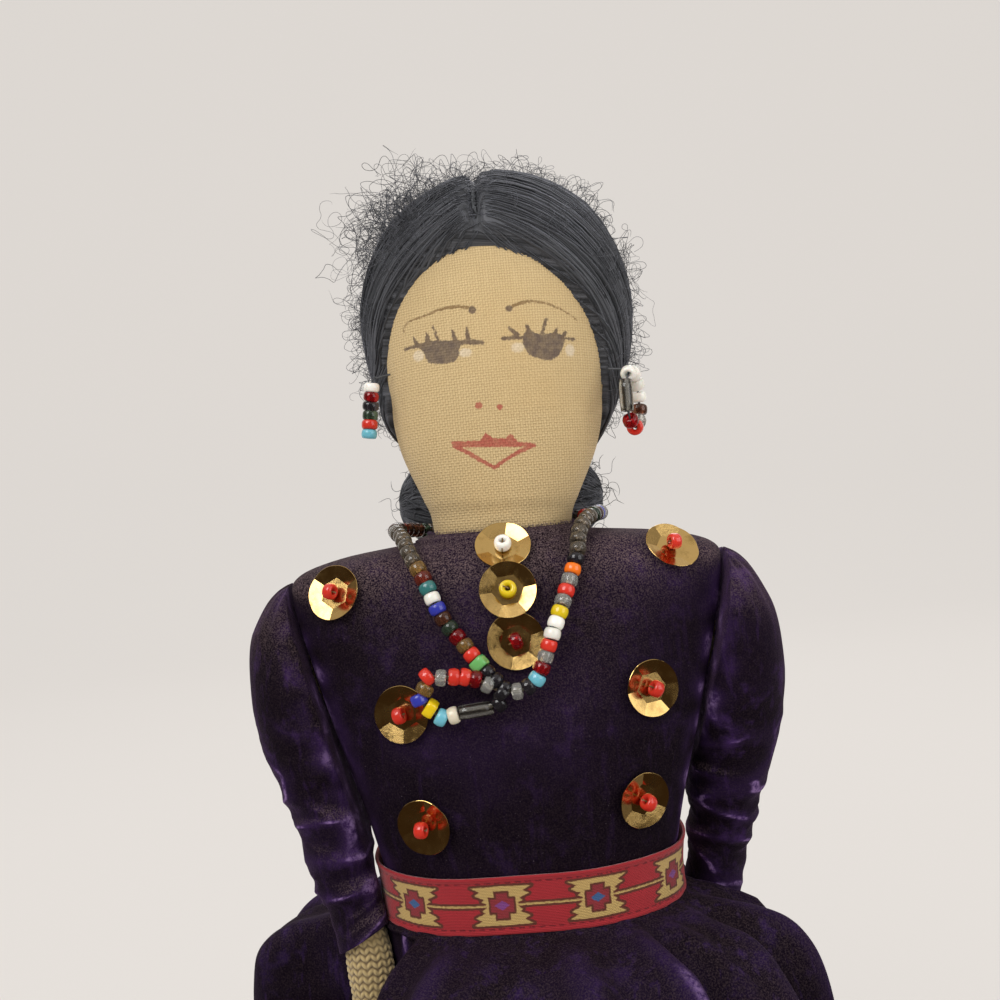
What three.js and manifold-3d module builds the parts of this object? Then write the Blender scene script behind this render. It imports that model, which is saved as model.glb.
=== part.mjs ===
// A hand-sewn Navajo cloth doll: a stuffed muslin figure in a velvet blouse and a full velvet skirt,
// with a woven ribbon belt, spangles, seed beads, a wool hairdo and moccasins.
// Millimetres, +Z up. The doll faces -Y, and its own left is +X. The floor is z = 0.
import * as THREE from "three";
import { mergeVertices } from "three/addons/utils/BufferGeometryUtils.js";
import Module from "manifold-3d";

const wasm = await Module();
wasm.setup();

// Clearances
const seat = 0.3; // between pieces that lie on each other
const swingGap = 0.2; // from the armhole plane to each side of it

// Heights above the floor
const waistHeight = 128;
const collarHeight = 192;
const crownHeight = 256;
const hipHeight = 97;
const soleHeight = 3;

// Stuffed body
const neckHalfWidth = 13.4;
const neckHalfDepth = 11;
const headHalfWidth = 22;
const headHalfDepth = 17.5;
const shoulderHalfWidth = 41;
const chestHalfDepth = 20;
const waistHalfWidth = 26.6;
const waistHalfDepth = 18;
const headTilt = THREE.MathUtils.degToRad(2.5);

// Cloth
const velvet = 1.1;
const ribbonWidth = 10;
const ribbonThickness = 0.5;

// Armholes: a flat ring on each side that leans in towards the waist
const armholeLean = 13.5; // degrees
const armholeHalfWidth = 37; // from the middle plane to the ring's centre
const armholeHeight = 168;

// Arms and hands
const sleeveLength = 51; // from the armhole's centre to the sleeve's end
const handLength = 17;
const handHalfWidth = 4.4;
const rightArmForward = 9; // degrees, how the doll's right arm hangs in front of the skirt
const leftArmForward = -8;

// Skirt
const hemHalfWidth = 60;
const hemHalfDepth = 52;
const skirtFolds = 10;
const foldDepth = 2.6;

// Legs and moccasins
const legSpacing = 25; // between the middles of the two legs
const thighRadius = 9.5;
const ankleRadius = 6.2;
const leggingHeight = 44; // top of the wrapped legging above the floor
const leggingThickness = 1.2;
const footLength = 25;
const footHalfWidth = 6.8;
const soleThickness = 1.4;

// Hair
const hairThickness = 4;
const hairlineDrop = 13; // from the crown down to the hairline
const faceHalfWidth = 19.5;
const bunHalfLength = 22;
const bunRadius = 9;
const bunWaistRadius = 4.6;
const tieWidth = 7;
const tieThickness = 1.4;
const stitchLength = 6;
const stitchThickness = 0.8;

// Beads and spangles
const beadRadius = 1.5;
const beadPitch = 2.1;
const threadRadius = 0.45;
const spangleRadius = 5;
const spangleThickness = 0.35;
const spangleCup = 0.6;
const spangleHole = 0.7;

const colours = {
  muslin: 0xd2b987,
  velvet: 0x2d1a45,
  ribbon: 0xc8323c,
  wool: 0x1c1e24,
  yarn: 0xe6e0d2,
  knit: 0xbeaa6e,
  legging: 0xe4ddcc,
  suede: 0x6b3a20,
  gold: 0xc9a85a,
  red: 0xc3281e,
  white: 0xf0eee8,
  yellow: 0xe8c832,
  beads: 0x8a4a38,
};

const root = new THREE.Group();
root.name = "navajo_doll";

function addMesh(parent, name, geometry, colour, roughness = 0.9, metalness = 0) {
  const material = new THREE.MeshStandardMaterial({ color: colour, roughness, metalness });
  const mesh = new THREE.Mesh(geometry, material);
  mesh.name = name;
  parent.add(mesh);
  return mesh;
}

// A closed geometry as a solid, and a solid as a geometry.
function solidOf(geometry) {
  const bare = geometry.clone();
  bare.deleteAttribute("normal");
  bare.deleteAttribute("uv");
  const merged = mergeVertices(bare, 1e-4);
  return new wasm.Manifold(
    new wasm.Mesh({
      numProp: 3,
      vertProperties: merged.attributes.position.array,
      triVerts: new Uint32Array(merged.index.array),
    }),
  );
}

function geometryOf(solid) {
  const mesh = solid.getMesh();
  const geometry = new THREE.BufferGeometry();
  geometry.setAttribute("position", new THREE.BufferAttribute(mesh.vertProperties, 3));
  geometry.setIndex(new THREE.BufferAttribute(mesh.triVerts, 1));
  geometry.computeVertexNormals();
  return geometry;
}

// Smooth values between the rows of a table whose first column rises or falls steadily.
function alongTable(table, at, column) {
  const rising = table[0][0] < table[table.length - 1][0];
  const rows = rising ? table : [...table].reverse();
  const last = rows.length - 1;
  if (at <= rows[0][0]) return rows[0][column];
  if (at >= rows[last][0]) return rows[last][column];
  const i = rows.findIndex((row) => row[0] > at) - 1;
  const slope = (a, b) => (rows[b][column] - rows[a][column]) / (rows[b][0] - rows[a][0]);
  const before = slope(Math.max(i - 1, 0), i === 0 ? 1 : i + 1);
  const after = slope(i, Math.min(i + 2, last));
  const width = rows[i + 1][0] - rows[i][0];
  const t = (at - rows[i][0]) / width;
  const t2 = t * t;
  const t3 = t2 * t;
  return (
    (2 * t3 - 3 * t2 + 1) * rows[i][column] +
    (t3 - 2 * t2 + t) * width * before +
    (3 * t2 - 2 * t3) * rows[i + 1][column] +
    (t3 - t2) * width * after
  );
}

// Rings of points, from the lowest to the highest, each anticlockwise seen from above.
function ringOf(z, count, pointAt) {
  const ring = [];
  for (let i = 0; i < count; i++) {
    const angle = (2 * Math.PI * i) / count;
    const [x, y] = pointAt(angle, z);
    ring.push(new THREE.Vector3(x, y, z));
  }
  return ring;
}

function wallFaces(faces, rings, start, outward) {
  const count = rings[0].length;
  for (let r = 0; r < rings.length - 1; r++) {
    for (let i = 0; i < count; i++) {
      const j = (i + 1) % count;
      const a = start + r * count + i;
      const b = start + r * count + j;
      const c = b + count;
      const d = a + count;
      if (outward) faces.push(a, b, c, a, c, d);
      else faces.push(a, c, b, a, d, c);
    }
  }
}

function indexedGeometry(points, faces) {
  const geometry = new THREE.BufferGeometry().setFromPoints(points);
  geometry.setIndex(faces);
  geometry.computeVertexNormals();
  return geometry;
}

// A solid through the rings, closed by a fan at each end.
function loft(rings) {
  const count = rings[0].length;
  const points = rings.flat();
  const faces = [];
  wallFaces(faces, rings, 0, true);
  const middle = (ring) => ring.reduce((sum, p) => sum.add(p), new THREE.Vector3()).divideScalar(count);
  const bottom = points.push(middle(rings[0])) - 1;
  const top = points.push(middle(rings[rings.length - 1])) - 1;
  const topStart = (rings.length - 1) * count;
  for (let i = 0; i < count; i++) {
    const j = (i + 1) % count;
    faces.push(bottom, j, i);
    faces.push(top, topStart + i, topStart + j);
  }
  return indexedGeometry(points, faces);
}

// A wall between two stacks of rings, open at both ends.
function shell(outer, inner) {
  const count = outer[0].length;
  const points = [...outer.flat(), ...inner.flat()];
  const faces = [];
  const innerStart = outer.length * count;
  wallFaces(faces, outer, 0, true);
  wallFaces(faces, inner, innerStart, false);
  const outerTop = (outer.length - 1) * count;
  const innerTop = innerStart + (inner.length - 1) * count;
  for (let i = 0; i < count; i++) {
    const j = (i + 1) % count;
    faces.push(i, innerStart + i, j, j, innerStart + i, innerStart + j);
    faces.push(outerTop + i, outerTop + j, innerTop + i, outerTop + j, innerTop + j, innerTop + i);
  }
  return indexedGeometry(points, faces);
}

function levels(low, high, count) {
  return Array.from({ length: count + 1 }, (_, i) => low + ((high - low) * i) / count);
}

// A rounded outline: 2 is an ellipse, and a higher power is squarer.
function rounded(halfWidth, halfDepth, power = 2) {
  return (angle) => {
    const c = Math.cos(angle);
    const s = Math.sin(angle);
    const size = (Math.abs(c) ** power + Math.abs(s) ** power) ** (-1 / power);
    return [halfWidth * size * c, halfDepth * size * s];
  };
}

// Torso: rows of height, half width, half depth
const bodyRoundness = 2.3;
const chestHeight = collarHeight - waistHeight;
const torsoTable = [
  [hipHeight - 3, waistHalfWidth - 3, waistHalfDepth - 1.5],
  [hipHeight + 6, waistHalfWidth - 0.6, waistHalfDepth - 0.4],
  [waistHeight, waistHalfWidth, waistHalfDepth],
  [waistHeight + 0.2 * chestHeight, waistHalfWidth + 2.5, chestHalfDepth - 0.6],
  [waistHeight + 0.42 * chestHeight, shoulderHalfWidth - 7.5, chestHalfDepth],
  [waistHeight + 0.66 * chestHeight, shoulderHalfWidth - 2.5, chestHalfDepth - 1.6],
  [waistHeight + 0.84 * chestHeight, shoulderHalfWidth, chestHalfDepth - 3.6],
  [waistHeight + 0.92 * chestHeight, shoulderHalfWidth - 3, chestHalfDepth - 5.4],
  [collarHeight - 2.4, shoulderHalfWidth - 12, neckHalfDepth + 1.6],
  [collarHeight - 0.8, neckHalfWidth + 2, neckHalfDepth + 0.3],
];

function torsoOutline(grow) {
  return (angle, z) => {
    const halfWidth = alongTable(torsoTable, z, 1) + grow;
    const halfDepth = alongTable(torsoTable, z, 2) + grow;
    return rounded(halfWidth, halfDepth, bodyRoundness)(angle);
  };
}

// The half space on the body's side of both armhole planes, or on one arm's side of its own.
const lean = THREE.MathUtils.degToRad(armholeLean);
const armAxis = (side) => new THREE.Vector3(side * Math.cos(lean), 0, -Math.sin(lean));
const armPivot = (side) => new THREE.Vector3(side * armholeHalfWidth, 0, armholeHeight);

function blockBeyondArmhole(side, offset, reachDown) {
  const size = 2 * collarHeight;
  const block = new THREE.BoxGeometry(size, size, size);
  block.translate(side * (size / 2 + offset), 0, size / 2 - reachDown);
  block.rotateY(side * lean);
  const pivot = armPivot(side);
  block.translate(pivot.x, pivot.y, pivot.z);
  return solidOf(block);
}

function insideArmholes(geometry, offset) {
  let solid = solidOf(geometry);
  for (const side of [-1, 1]) solid = solid.subtract(blockBeyondArmhole(side, -offset, armholeHeight - waistHeight));
  return solid;
}

const torsoSides = 24;
const blouseTop = collarHeight - 0.8;
const blouseLevels = levels(waistHeight + seat / 2, blouseTop, 11);
const torsoLevels = [...levels(torsoTable[0][0], waistHeight - 6, 2), ...blouseLevels];
const torsoGeometry = loft(torsoLevels.map((z) => ringOf(z, torsoSides, torsoOutline(0))));
addMesh(root, "torso", geometryOf(insideArmholes(torsoGeometry, swingGap)), colours.muslin);

// Blouse: a velvet wall round the torso, with a neck opening and two armholes
const blouseOut = seat + velvet;
const blouseGeometry = shell(
  blouseLevels.map((z) => ringOf(z, torsoSides, torsoOutline(blouseOut))),
  blouseLevels.map((z) => ringOf(z, torsoSides, torsoOutline(seat))),
);
addMesh(root, "blouse_body", geometryOf(insideArmholes(blouseGeometry, swingGap)), colours.velvet);

// The blouse's front face at a place, and the way that it looks there
function frontAt(x, z) {
  const halfWidth = alongTable(torsoTable, z, 1) + blouseOut;
  const halfDepth = alongTable(torsoTable, z, 2) + blouseOut;
  const share = Math.min(Math.abs(x) / halfWidth, 0.999);
  return -halfDepth * (1 - share ** bodyRoundness) ** (1 / bodyRoundness);
}

function frontNormal(x, z) {
  const step = 1.5;
  const alongX = (frontAt(x + step, z) - frontAt(x - step, z)) / (2 * step);
  const alongZ = (frontAt(x, z + step) - frontAt(x, z - step)) / (2 * step);
  return new THREE.Vector3(alongX, -1, alongZ).normalize();
}

// Skirt: rows of height, half width, half depth, how strong the folds are, and how far the inner face
// lies below the outer one. Above the hands' reach it is narrow at the sides, where the hands hang and swing.
const skirtTop = waistHeight - seat / 2;
const ribbonBottom = waistHeight - ribbonWidth / 2;
const beltHalfWidth = waistHalfWidth + blouseOut;
const beltHalfDepth = waistHalfDepth + blouseOut;
const handBottom = armholeHeight - sleeveLength - handLength;
const skirtTable = [
  [0, hemHalfWidth - foldDepth, hemHalfDepth - foldDepth, 1, 0],
  [0.3 * waistHeight, hemHalfWidth - 5.2, hemHalfDepth - 5, 1, 0],
  [0.58 * waistHeight, hemHalfWidth - 8.5, hemHalfDepth - 7, 0.8, 0],
  [handBottom - 10, hemHalfWidth - 9.7, hemHalfDepth - 7.8, 0.6, 0.4],
  [handBottom - 6, hemHalfWidth - 10.4, hemHalfDepth - 8.2, 0.4, velvet],
  [handBottom - 3.6, hemHalfWidth - 18, hemHalfDepth - 8.6, 0.2, velvet],
  [handBottom - 1.8, beltHalfWidth + 1.2, hemHalfDepth - 9, 0, velvet],
  [0.875 * waistHeight, beltHalfWidth + 0.3, hemHalfDepth - 13, 0, 0],
  [ribbonBottom - 3, beltHalfWidth + 0.3, beltHalfDepth + 9, 0, 0],
  [ribbonBottom, beltHalfWidth, beltHalfDepth, 0, 0],
  [skirtTop, beltHalfWidth, beltHalfDepth, 0, 0],
];

function skirtOutline(grow) {
  return (angle, z) => {
    const fold = foldDepth * alongTable(skirtTable, z, 3) * Math.cos(skirtFolds * angle);
    const halfWidth = alongTable(skirtTable, z, 1) + grow + fold;
    const halfDepth = alongTable(skirtTable, z, 2) + grow + fold;
    return rounded(halfWidth, halfDepth, bodyRoundness)(angle);
  };
}

const skirtSides = skirtFolds * 4;
const lowered = (ring, drop) => ring.map((point) => point.setZ(point.z - drop));
const skirtGeometry = shell(
  skirtTable.map(([z]) => ringOf(z, skirtSides, skirtOutline(0))),
  skirtTable.map(([z, , , , drop]) => lowered(ringOf(z, skirtSides, skirtOutline(-velvet)), drop)),
);
addMesh(root, "skirt", skirtGeometry, colours.velvet);

// Belt: a woven ribbon round the waist seam
const beltTop = waistHeight + ribbonWidth / 2;
const beltSides = torsoSides * 2;
const beltLevels = [ribbonBottom, waistHeight, beltTop];
const beltOutline = (grow) => (angle, z) => torsoOutline(blouseOut + grow)(angle, Math.max(z, waistHeight));
const beltGeometry = shell(
  beltLevels.map((z) => ringOf(z, beltSides, beltOutline(seat + ribbonThickness))),
  beltLevels.map((z) => ringOf(z, beltSides, beltOutline(seat))),
);
addMesh(root, "belt_ribbon", beltGeometry, colours.ribbon, 0.6);

// Arms: rows of distance below the armhole's centre, outer edge, inner edge, half depth.
// The edges are measured out from the armhole's centre.
const sleeveTable = [
  [-17.2, 4.6, -3, 3],
  [-15.5, 7.5, -3.5, 7.5],
  [-12, 10.2, -5, 11],
  [-6, 13, -6, 13],
  [2, 14.2, -7, 13.4],
  [10, 14.2, -7.5, 12.6],
  [18, 12.6, -6.6, 11.2],
  [27, 9.8, -5.8, 9.4],
  [36, 7.2, -5.6, 7.6],
  [44, 4.9, -6.4, 6.2],
  [sleeveLength, 3.6, -7.6, 5.4],
];

function sleeveOutline(grow) {
  return (angle, z) => {
    const outer = alongTable(sleeveTable, -z, 1) + grow;
    const inner = alongTable(sleeveTable, -z, 2) - grow;
    const halfDepth = alongTable(sleeveTable, -z, 3) + grow;
    const [x, y] = rounded((outer - inner) / 2, halfDepth)(angle);
    return [x + (outer + inner) / 2, y];
  };
}

// The hand is a knitted tube that leaves the sleeve and closes in a round end.
function handOutline() {
  const wrist = (alongTable(sleeveTable, sleeveLength, 1) + alongTable(sleeveTable, sleeveLength, 2)) / 2;
  return (angle, z) => {
    const below = -z - sleeveLength;
    const share = Math.min(Math.max(below / handLength, 0), 1);
    const round = share > 0.6 ? Math.sqrt(Math.max(1 - ((share - 0.6) / 0.4) ** 2, 0.04)) : 1;
    const [x, y] = rounded(handHalfWidth * round, handHalfWidth * 0.9 * round)(angle);
    return [x + wrist, y];
  };
}

const sleeveWall = seat + velvet;
const armSides = 14;

function armPiece(side, geometry, offset) {
  const mirrored = geometry.clone();
  if (side < 0) {
    mirrored.scale(-1, 1, 1);
    const index = mirrored.index.array;
    for (let i = 0; i < index.length; i += 3) [index[i + 1], index[i + 2]] = [index[i + 2], index[i + 1]];
  }
  const solid = solidOf(mirrored);
  const block = blockBeyondArmhole(side, offset, collarHeight);
  const pivot = armPivot(side);
  return solid.intersect(block.translate([-pivot.x, -pivot.y, -pivot.z]));
}

// The sleeve's rings run from its open end up to the cap of its puff.
const capHeight = 17.2;
const capInner = capHeight - 1.5 * velvet;
const sleeveLevels = levels(-sleeveLength, capInner, 10);

function armCore() {
  const hand = levels(-sleeveLength - handLength, -sleeveLength, 4);
  const rings = hand.map((z) => ringOf(z, armSides, handOutline()));
  for (const z of sleeveLevels.slice(1, -1)) rings.push(ringOf(z, armSides, sleeveOutline(-sleeveWall)));
  const top = ringOf(capInner, armSides, sleeveOutline(-sleeveWall));
  rings.push(top.map((point) => point.setZ(capInner - seat)));
  return loft(rings);
}

function sleeveShell() {
  const outer = sleeveLevels.map((z) => ringOf(z, armSides, sleeveOutline(0)));
  const inner = sleeveLevels.map((z) => ringOf(z, armSides, sleeveOutline(-velvet)));
  const mouth = ringOf(-sleeveLength - 1, armSides, sleeveOutline(-velvet));
  const filled = solidOf(loft([...outer, ringOf(capHeight, armSides, sleeveOutline(0))]));
  return filled.subtract(solidOf(loft([mouth, ...inner])));
}

function buildArm(side, name, forward) {
  const group = new THREE.Group();
  group.position.copy(armPivot(side));
  // A turn about an axis that points out of the armhole: the hand goes forward, towards -Y.
  group.quaternion.setFromAxisAngle(armAxis(side), -side * THREE.MathUtils.degToRad(forward));
  root.add(group);
  addMesh(group, name + "_arm", geometryOf(armPiece(side, armCore(), swingGap)), colours.knit);
  const sleeve = armPiece(side, geometryOf(sleeveShell()), swingGap);
  addMesh(group, name + "_sleeve", geometryOf(sleeve), colours.velvet);
}

buildArm(1, "left", leftArmForward);
buildArm(-1, "right", rightArmForward);

// Head: rows of height, half width, half depth. It tilts a little on the neck.
const neckBottom = collarHeight - 0.3;
const neckDome = 4.2; // the rise of the neck's rounded end, which lets the head nod
const headHeight = crownHeight - collarHeight;
const headTable = [
  [neckBottom, 2.5, 2],
  [neckBottom + 0.36 * neckDome, 0.6 * neckHalfWidth, 0.6 * neckHalfDepth],
  [neckBottom + neckDome, neckHalfWidth, neckHalfDepth],
  [collarHeight + 0.1 * headHeight, neckHalfWidth + 1.3, neckHalfDepth + 1.4],
  [collarHeight + 0.25 * headHeight, headHalfWidth - 3.2, headHalfDepth - 2.4],
  [collarHeight + 0.4 * headHeight, headHalfWidth - 1.5, headHalfDepth - 0.6],
  [collarHeight + 0.55 * headHeight, headHalfWidth - 0.4, headHalfDepth],
  [collarHeight + 0.7 * headHeight, headHalfWidth, headHalfDepth - 0.4],
  [collarHeight + 0.84 * headHeight, headHalfWidth - 2.8, headHalfDepth - 2.4],
  [collarHeight + 0.94 * headHeight, headHalfWidth - 9, headHalfDepth - 7],
  [crownHeight, 3, 2.6],
];
const headSides = 20;
const headLevels = [
  neckBottom,
  neckBottom + 0.36 * neckDome,
  ...levels(neckBottom + neckDome, collarHeight + 0.84 * headHeight, 8),
  ...levels(collarHeight + 0.89 * headHeight, crownHeight, 3),
];

function headOutline(grow) {
  return (angle, z) => rounded(alongTable(headTable, z, 1) + grow, alongTable(headTable, z, 2) + grow)(angle);
}

function headSolid(grow) {
  return solidOf(loft(headLevels.map((z) => ringOf(z, headSides, headOutline(grow)))));
}

const headGroup = new THREE.Group();
headGroup.rotation.y = headTilt;
headGroup.position.set(0, 0, collarHeight);
root.add(headGroup);
const headPlace = new THREE.Group();
headPlace.position.z = -collarHeight;
headGroup.add(headPlace);
addMesh(headPlace, "head", geometryOf(headSolid(0)), colours.muslin);

// Hair: rows of height, half width, half depth, and how far its middle lies behind the head's.
const hairTop = crownHeight + hairThickness;
const hairTable = [
  [collarHeight + 6.5, neckHalfWidth - 2, neckHalfDepth - 2, 9],
  [collarHeight + 12, neckHalfWidth + 2.6, neckHalfDepth + 1.5, 7.5],
  [collarHeight + 0.27 * headHeight, headHalfWidth - 2.4, headHalfDepth - 2, 5],
  [collarHeight + 0.35 * headHeight, headHalfWidth, headHalfDepth + 0.8, 3],
  [collarHeight + 0.45 * headHeight, headHalfWidth + 0.6 * hairThickness, headHalfDepth + 3, 2],
  [collarHeight + 0.58 * headHeight, headHalfWidth + hairThickness, headHalfDepth + 4, 1.4],
  [collarHeight + 0.7 * headHeight, headHalfWidth + hairThickness, headHalfDepth + 3.9, 1],
  [collarHeight + 0.82 * headHeight, headHalfWidth + 0.5 * hairThickness, headHalfDepth + 2.6, 0.8],
  [collarHeight + 0.94 * headHeight, headHalfWidth - 2.6, headHalfDepth - 0.8, 0.6],
  [hairTop - 3.6, headHalfWidth - 8.5, headHalfDepth - 5, 0.3],
  [hairTop - 1, headHalfWidth - 15, headHalfDepth - 11, 0],
  [hairTop, 2.4, 2, 0],
];
const hairSides = 20;
const hairLevels = [
  ...levels(hairTable[0][0], collarHeight + 0.82 * headHeight, 8),
  ...levels(collarHeight + 0.9 * headHeight, hairTop - 1, 4),
  hairTop,
];

function hairOutline(grow) {
  return (angle, z) => {
    const halfWidth = alongTable(hairTable, z, 1) + grow;
    const halfDepth = alongTable(hairTable, z, 2) + grow;
    const [x, y] = rounded(halfWidth, halfDepth)(angle);
    return [x, y + alongTable(hairTable, z, 3)];
  };
}

function hairSolid(grow) {
  return solidOf(loft(hairLevels.map((z) => ringOf(z, hairSides, hairOutline(grow)))));
}

// The face opening is an arch under the hairline, and below the ears it takes in the whole front.
function faceOpening() {
  const hairline = crownHeight - hairlineDrop;
  const springing = collarHeight + 0.42 * headHeight;
  const arch = new THREE.Shape();
  const wide = 2 * headHalfWidth;
  arch.moveTo(-wide, collarHeight - 2);
  arch.lineTo(wide, collarHeight - 2);
  arch.lineTo(wide, collarHeight + 0.3 * headHeight);
  arch.lineTo(faceHalfWidth, springing - 3);
  for (let i = 0; i <= 12; i++) {
    const angle = (Math.PI * i) / 12;
    arch.lineTo(faceHalfWidth * Math.cos(angle), springing + (hairline - springing) * Math.sin(angle));
  }
  arch.lineTo(-faceHalfWidth, springing - 3);
  arch.lineTo(-wide, collarHeight + 0.3 * headHeight);
  const depth = 40;
  const cutter = new THREE.ExtrudeGeometry(arch, { depth, bevelEnabled: false });
  cutter.rotateX(Math.PI / 2);
  cutter.translate(0, -4.5, 0);
  return solidOf(cutter);
}

const hairCap = hairSolid(0).subtract(headSolid(seat)).subtract(faceOpening());
addMesh(headPlace, "hair", geometryOf(hairCap), colours.wool);

// Bun at the nape: two lobes with a yarn tie between them, turned about an axis along X
const bunProfile = [
  [0, -bunHalfLength],
  [0.6 * bunRadius, -bunHalfLength + 1.6],
  [0.93 * bunRadius, -bunHalfLength + 5.2],
  [bunRadius, -bunHalfLength + 9.6],
  [0.9 * bunRadius, -tieWidth / 2 - 5],
  [bunWaistRadius, -tieWidth / 2 - 2 * seat],
];
const fullProfile = [...bunProfile, ...[...bunProfile].reverse().map(([r, x]) => [r, -x])];
const bunBehind = 25;
const bunHeight = collarHeight + 6;

function turnedAlongX(profile, sides) {
  const points = profile.map(([radius, along]) => new THREE.Vector2(radius, along));
  const geometry = new THREE.LatheGeometry(points, sides);
  return geometry.rotateZ(-Math.PI / 2);
}

const bun = turnedAlongX(fullProfile, 14);
bun.translate(0, bunBehind, bunHeight);
addMesh(headPlace, "bun", geometryOf(solidOf(bun).subtract(hairSolid(seat))), colours.wool);

const tieInner = bunWaistRadius + seat;
const tieProfile = [
  [tieInner, -tieWidth / 2],
  [tieInner + tieThickness, -tieWidth / 2],
  [tieInner + tieThickness, tieWidth / 2],
  [tieInner, tieWidth / 2],
  [tieInner, -tieWidth / 2],
];
const tie = addMesh(headPlace, "bun_tie", turnedAlongX(tieProfile, 16), colours.yarn);
tie.position.set(0, bunBehind, bunHeight);

// The stitch that holds the parting, laid on the hair above the hairline
const hairFrontAt = (z) => alongTable(hairTable, z, 3) - alongTable(hairTable, z, 2);
const stitchLow = crownHeight - hairlineDrop + 1;
const stitchHigh = stitchLow + stitchLength;
const stitchLean = Math.atan2(hairFrontAt(stitchHigh) - hairFrontAt(stitchLow), stitchLength);
const stitchBar = new THREE.BoxGeometry(stitchThickness, stitchThickness, stitchLength);
const stitch = addMesh(headPlace, "part_stitch", stitchBar, colours.wool);
stitch.rotation.x = -stitchLean;
stitch.position.set(0, (hairFrontAt(stitchLow) + hairFrontAt(stitchHigh)) / 2 - 1.1, (stitchLow + stitchHigh) / 2);

// A string of seed beads along a curve, as one solid: a thread that swells into each bead
function beadString(curve, beads, closed, sides = 5) {
  const count = Math.round(beads);
  const perBead = 3;
  const steps = count * perBead;
  const frames = curve.computeFrenetFrames(steps, closed);
  const rings = [];
  const total = closed ? steps : steps + 1;
  for (let i = 0; i < total; i++) {
    const part = i % perBead;
    const bead = Math.floor(i / perBead);
    const share = (bead + [0, 0.27, 0.73][part]) / count;
    const at = curve.getPointAt(Math.min(share, 1));
    const radius = part === 0 ? threadRadius * 1.6 : beadRadius;
    const frame = Math.min(Math.round(share * steps), steps);
    const ring = [];
    for (let k = 0; k < sides; k++) {
      const angle = (2 * Math.PI * k) / sides;
      const out = frames.normals[frame].clone().multiplyScalar(Math.cos(angle) * radius);
      out.addScaledVector(frames.binormals[frame], Math.sin(angle) * radius);
      ring.push(at.clone().add(out));
    }
    rings.push(ring);
  }
  if (!closed) return loft(rings);
  const points = rings.flat();
  const faces = [];
  for (let r = 0; r < rings.length; r++) {
    const next = (r + 1) % rings.length;
    for (let i = 0; i < sides; i++) {
      const j = (i + 1) % sides;
      const a = r * sides + i;
      const b = r * sides + j;
      const c = next * sides + j;
      const d = next * sides + i;
      faces.push(a, b, c, a, c, d);
    }
  }
  return indexedGeometry(points, faces);
}

function facingOut(geometry) {
  const solid = solidOf(geometry);
  if (solid.volume() > 0) return solid;
  const index = geometry.index.array;
  for (let i = 0; i < index.length; i += 3) [index[i + 1], index[i + 2]] = [index[i + 2], index[i + 1]];
  return solidOf(geometry);
}

// Earrings: each hangs from a short thread at the side of the hair, and swings about it.
const earringHeight = collarHeight + (28.5 / 64) * headHeight;
const earringForward = -8.5;
const hairSideAt = (y, z) => {
  const halfWidth = alongTable(hairTable, z, 1);
  const share = (y - alongTable(hairTable, z, 3)) / alongTable(hairTable, z, 2);
  return halfWidth * Math.sqrt(Math.max(1 - share * share, 0));
};

function buildEarring(side, name, curve, count, closed, reachBack) {
  const hairAtThread = hairSideAt(earringForward, earringHeight) + seat;
  const out = hairSideAt(earringForward + reachBack, earringHeight) + seat + beadRadius + 0.2;
  const stubLength = out - hairAtThread;
  const stub = new THREE.CylinderGeometry(threadRadius, threadRadius, stubLength, 6);
  stub.rotateZ(Math.PI / 2);
  stub.translate((-side * stubLength) / 2, 0, 0);
  const solid = facingOut(beadString(curve, count, closed)).add(solidOf(stub));
  const mesh = addMesh(headPlace, name + "_earring", geometryOf(solid), colours.beads, 0.2);
  mesh.position.set(side * out, earringForward, earringHeight);
}

const dropBeads = 5;
const drop = new THREE.LineCurve3(
  new THREE.Vector3(0, 0, 0.6),
  new THREE.Vector3(0, 0, 0.6 - dropBeads * beadPitch),
);
buildEarring(-1, "right", drop, dropBeads, false, 0);
const hoopBeads = 12;
const hoopHeight = 5.1;
const hoopDepth = 3.2;
const hoopPoints = Array.from({ length: 12 }, (_, i) => {
  const angle = (2 * Math.PI * i) / 12;
  return new THREE.Vector3(0, hoopDepth * Math.sin(angle), hoopHeight * (Math.cos(angle) - 1));
});
buildEarring(1, "left", new THREE.CatmullRomCurve3(hoopPoints, true), hoopBeads, true, hoopDepth);

// Necklace: down the front in a V on the blouse, and round the back of the neck
const necklaceLift = seat + beadRadius + 0.15;
function onFront(x, z, lift) {
  return new THREE.Vector3(x, frontAt(x, z), z).addScaledVector(frontNormal(x, z), lift);
}
// Rows of x, distance below the collar and lift: the beads lie on the rim of the lowest collar spangle.
const overRim = spangleThickness + spangleCup + 0.3;
const necklaceFront = [
  [-17, 3.4, 0],
  [-15.4, 6, 0],
  [-13.6, 11.6, 0],
  [-10.6, 16.6, 0],
  [-7.4, 20.4, 0.7 * overRim],
  [-2.6, 24, overRim],
  [1.5, 25.8, overRim],
  [4.6, 23.2, overRim],
  [8.6, 14.6, 0.7 * overRim],
  [11.2, 8.4, 0],
  [13.6, 3.2, 0],
];
const necklaceBack = [
  [17.8, -5, collarHeight + 1.4],
  [19, 4, collarHeight + 1.2],
  [14.4, 12, collarHeight + 0.4],
  [5, 15.4, collarHeight - 1],
  [-5, 15.4, collarHeight - 1],
  [-14.4, 12, collarHeight + 0.4],
  [-19.4, 4, collarHeight + 1.2],
  [-20, -4.4, collarHeight + 1],
];
const necklaceCurve = new THREE.CatmullRomCurve3(
  [
    ...necklaceFront.map(([x, below, extra]) => onFront(x, collarHeight - below, necklaceLift + extra)),
    ...necklaceBack.map(([x, y, z]) => new THREE.Vector3(x, y, z)),
  ],
  true,
);
const necklaceBeads = Math.round(necklaceCurve.getLength() / beadPitch);
const necklace = facingOut(beadString(necklaceCurve, necklaceBeads, true));
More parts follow.
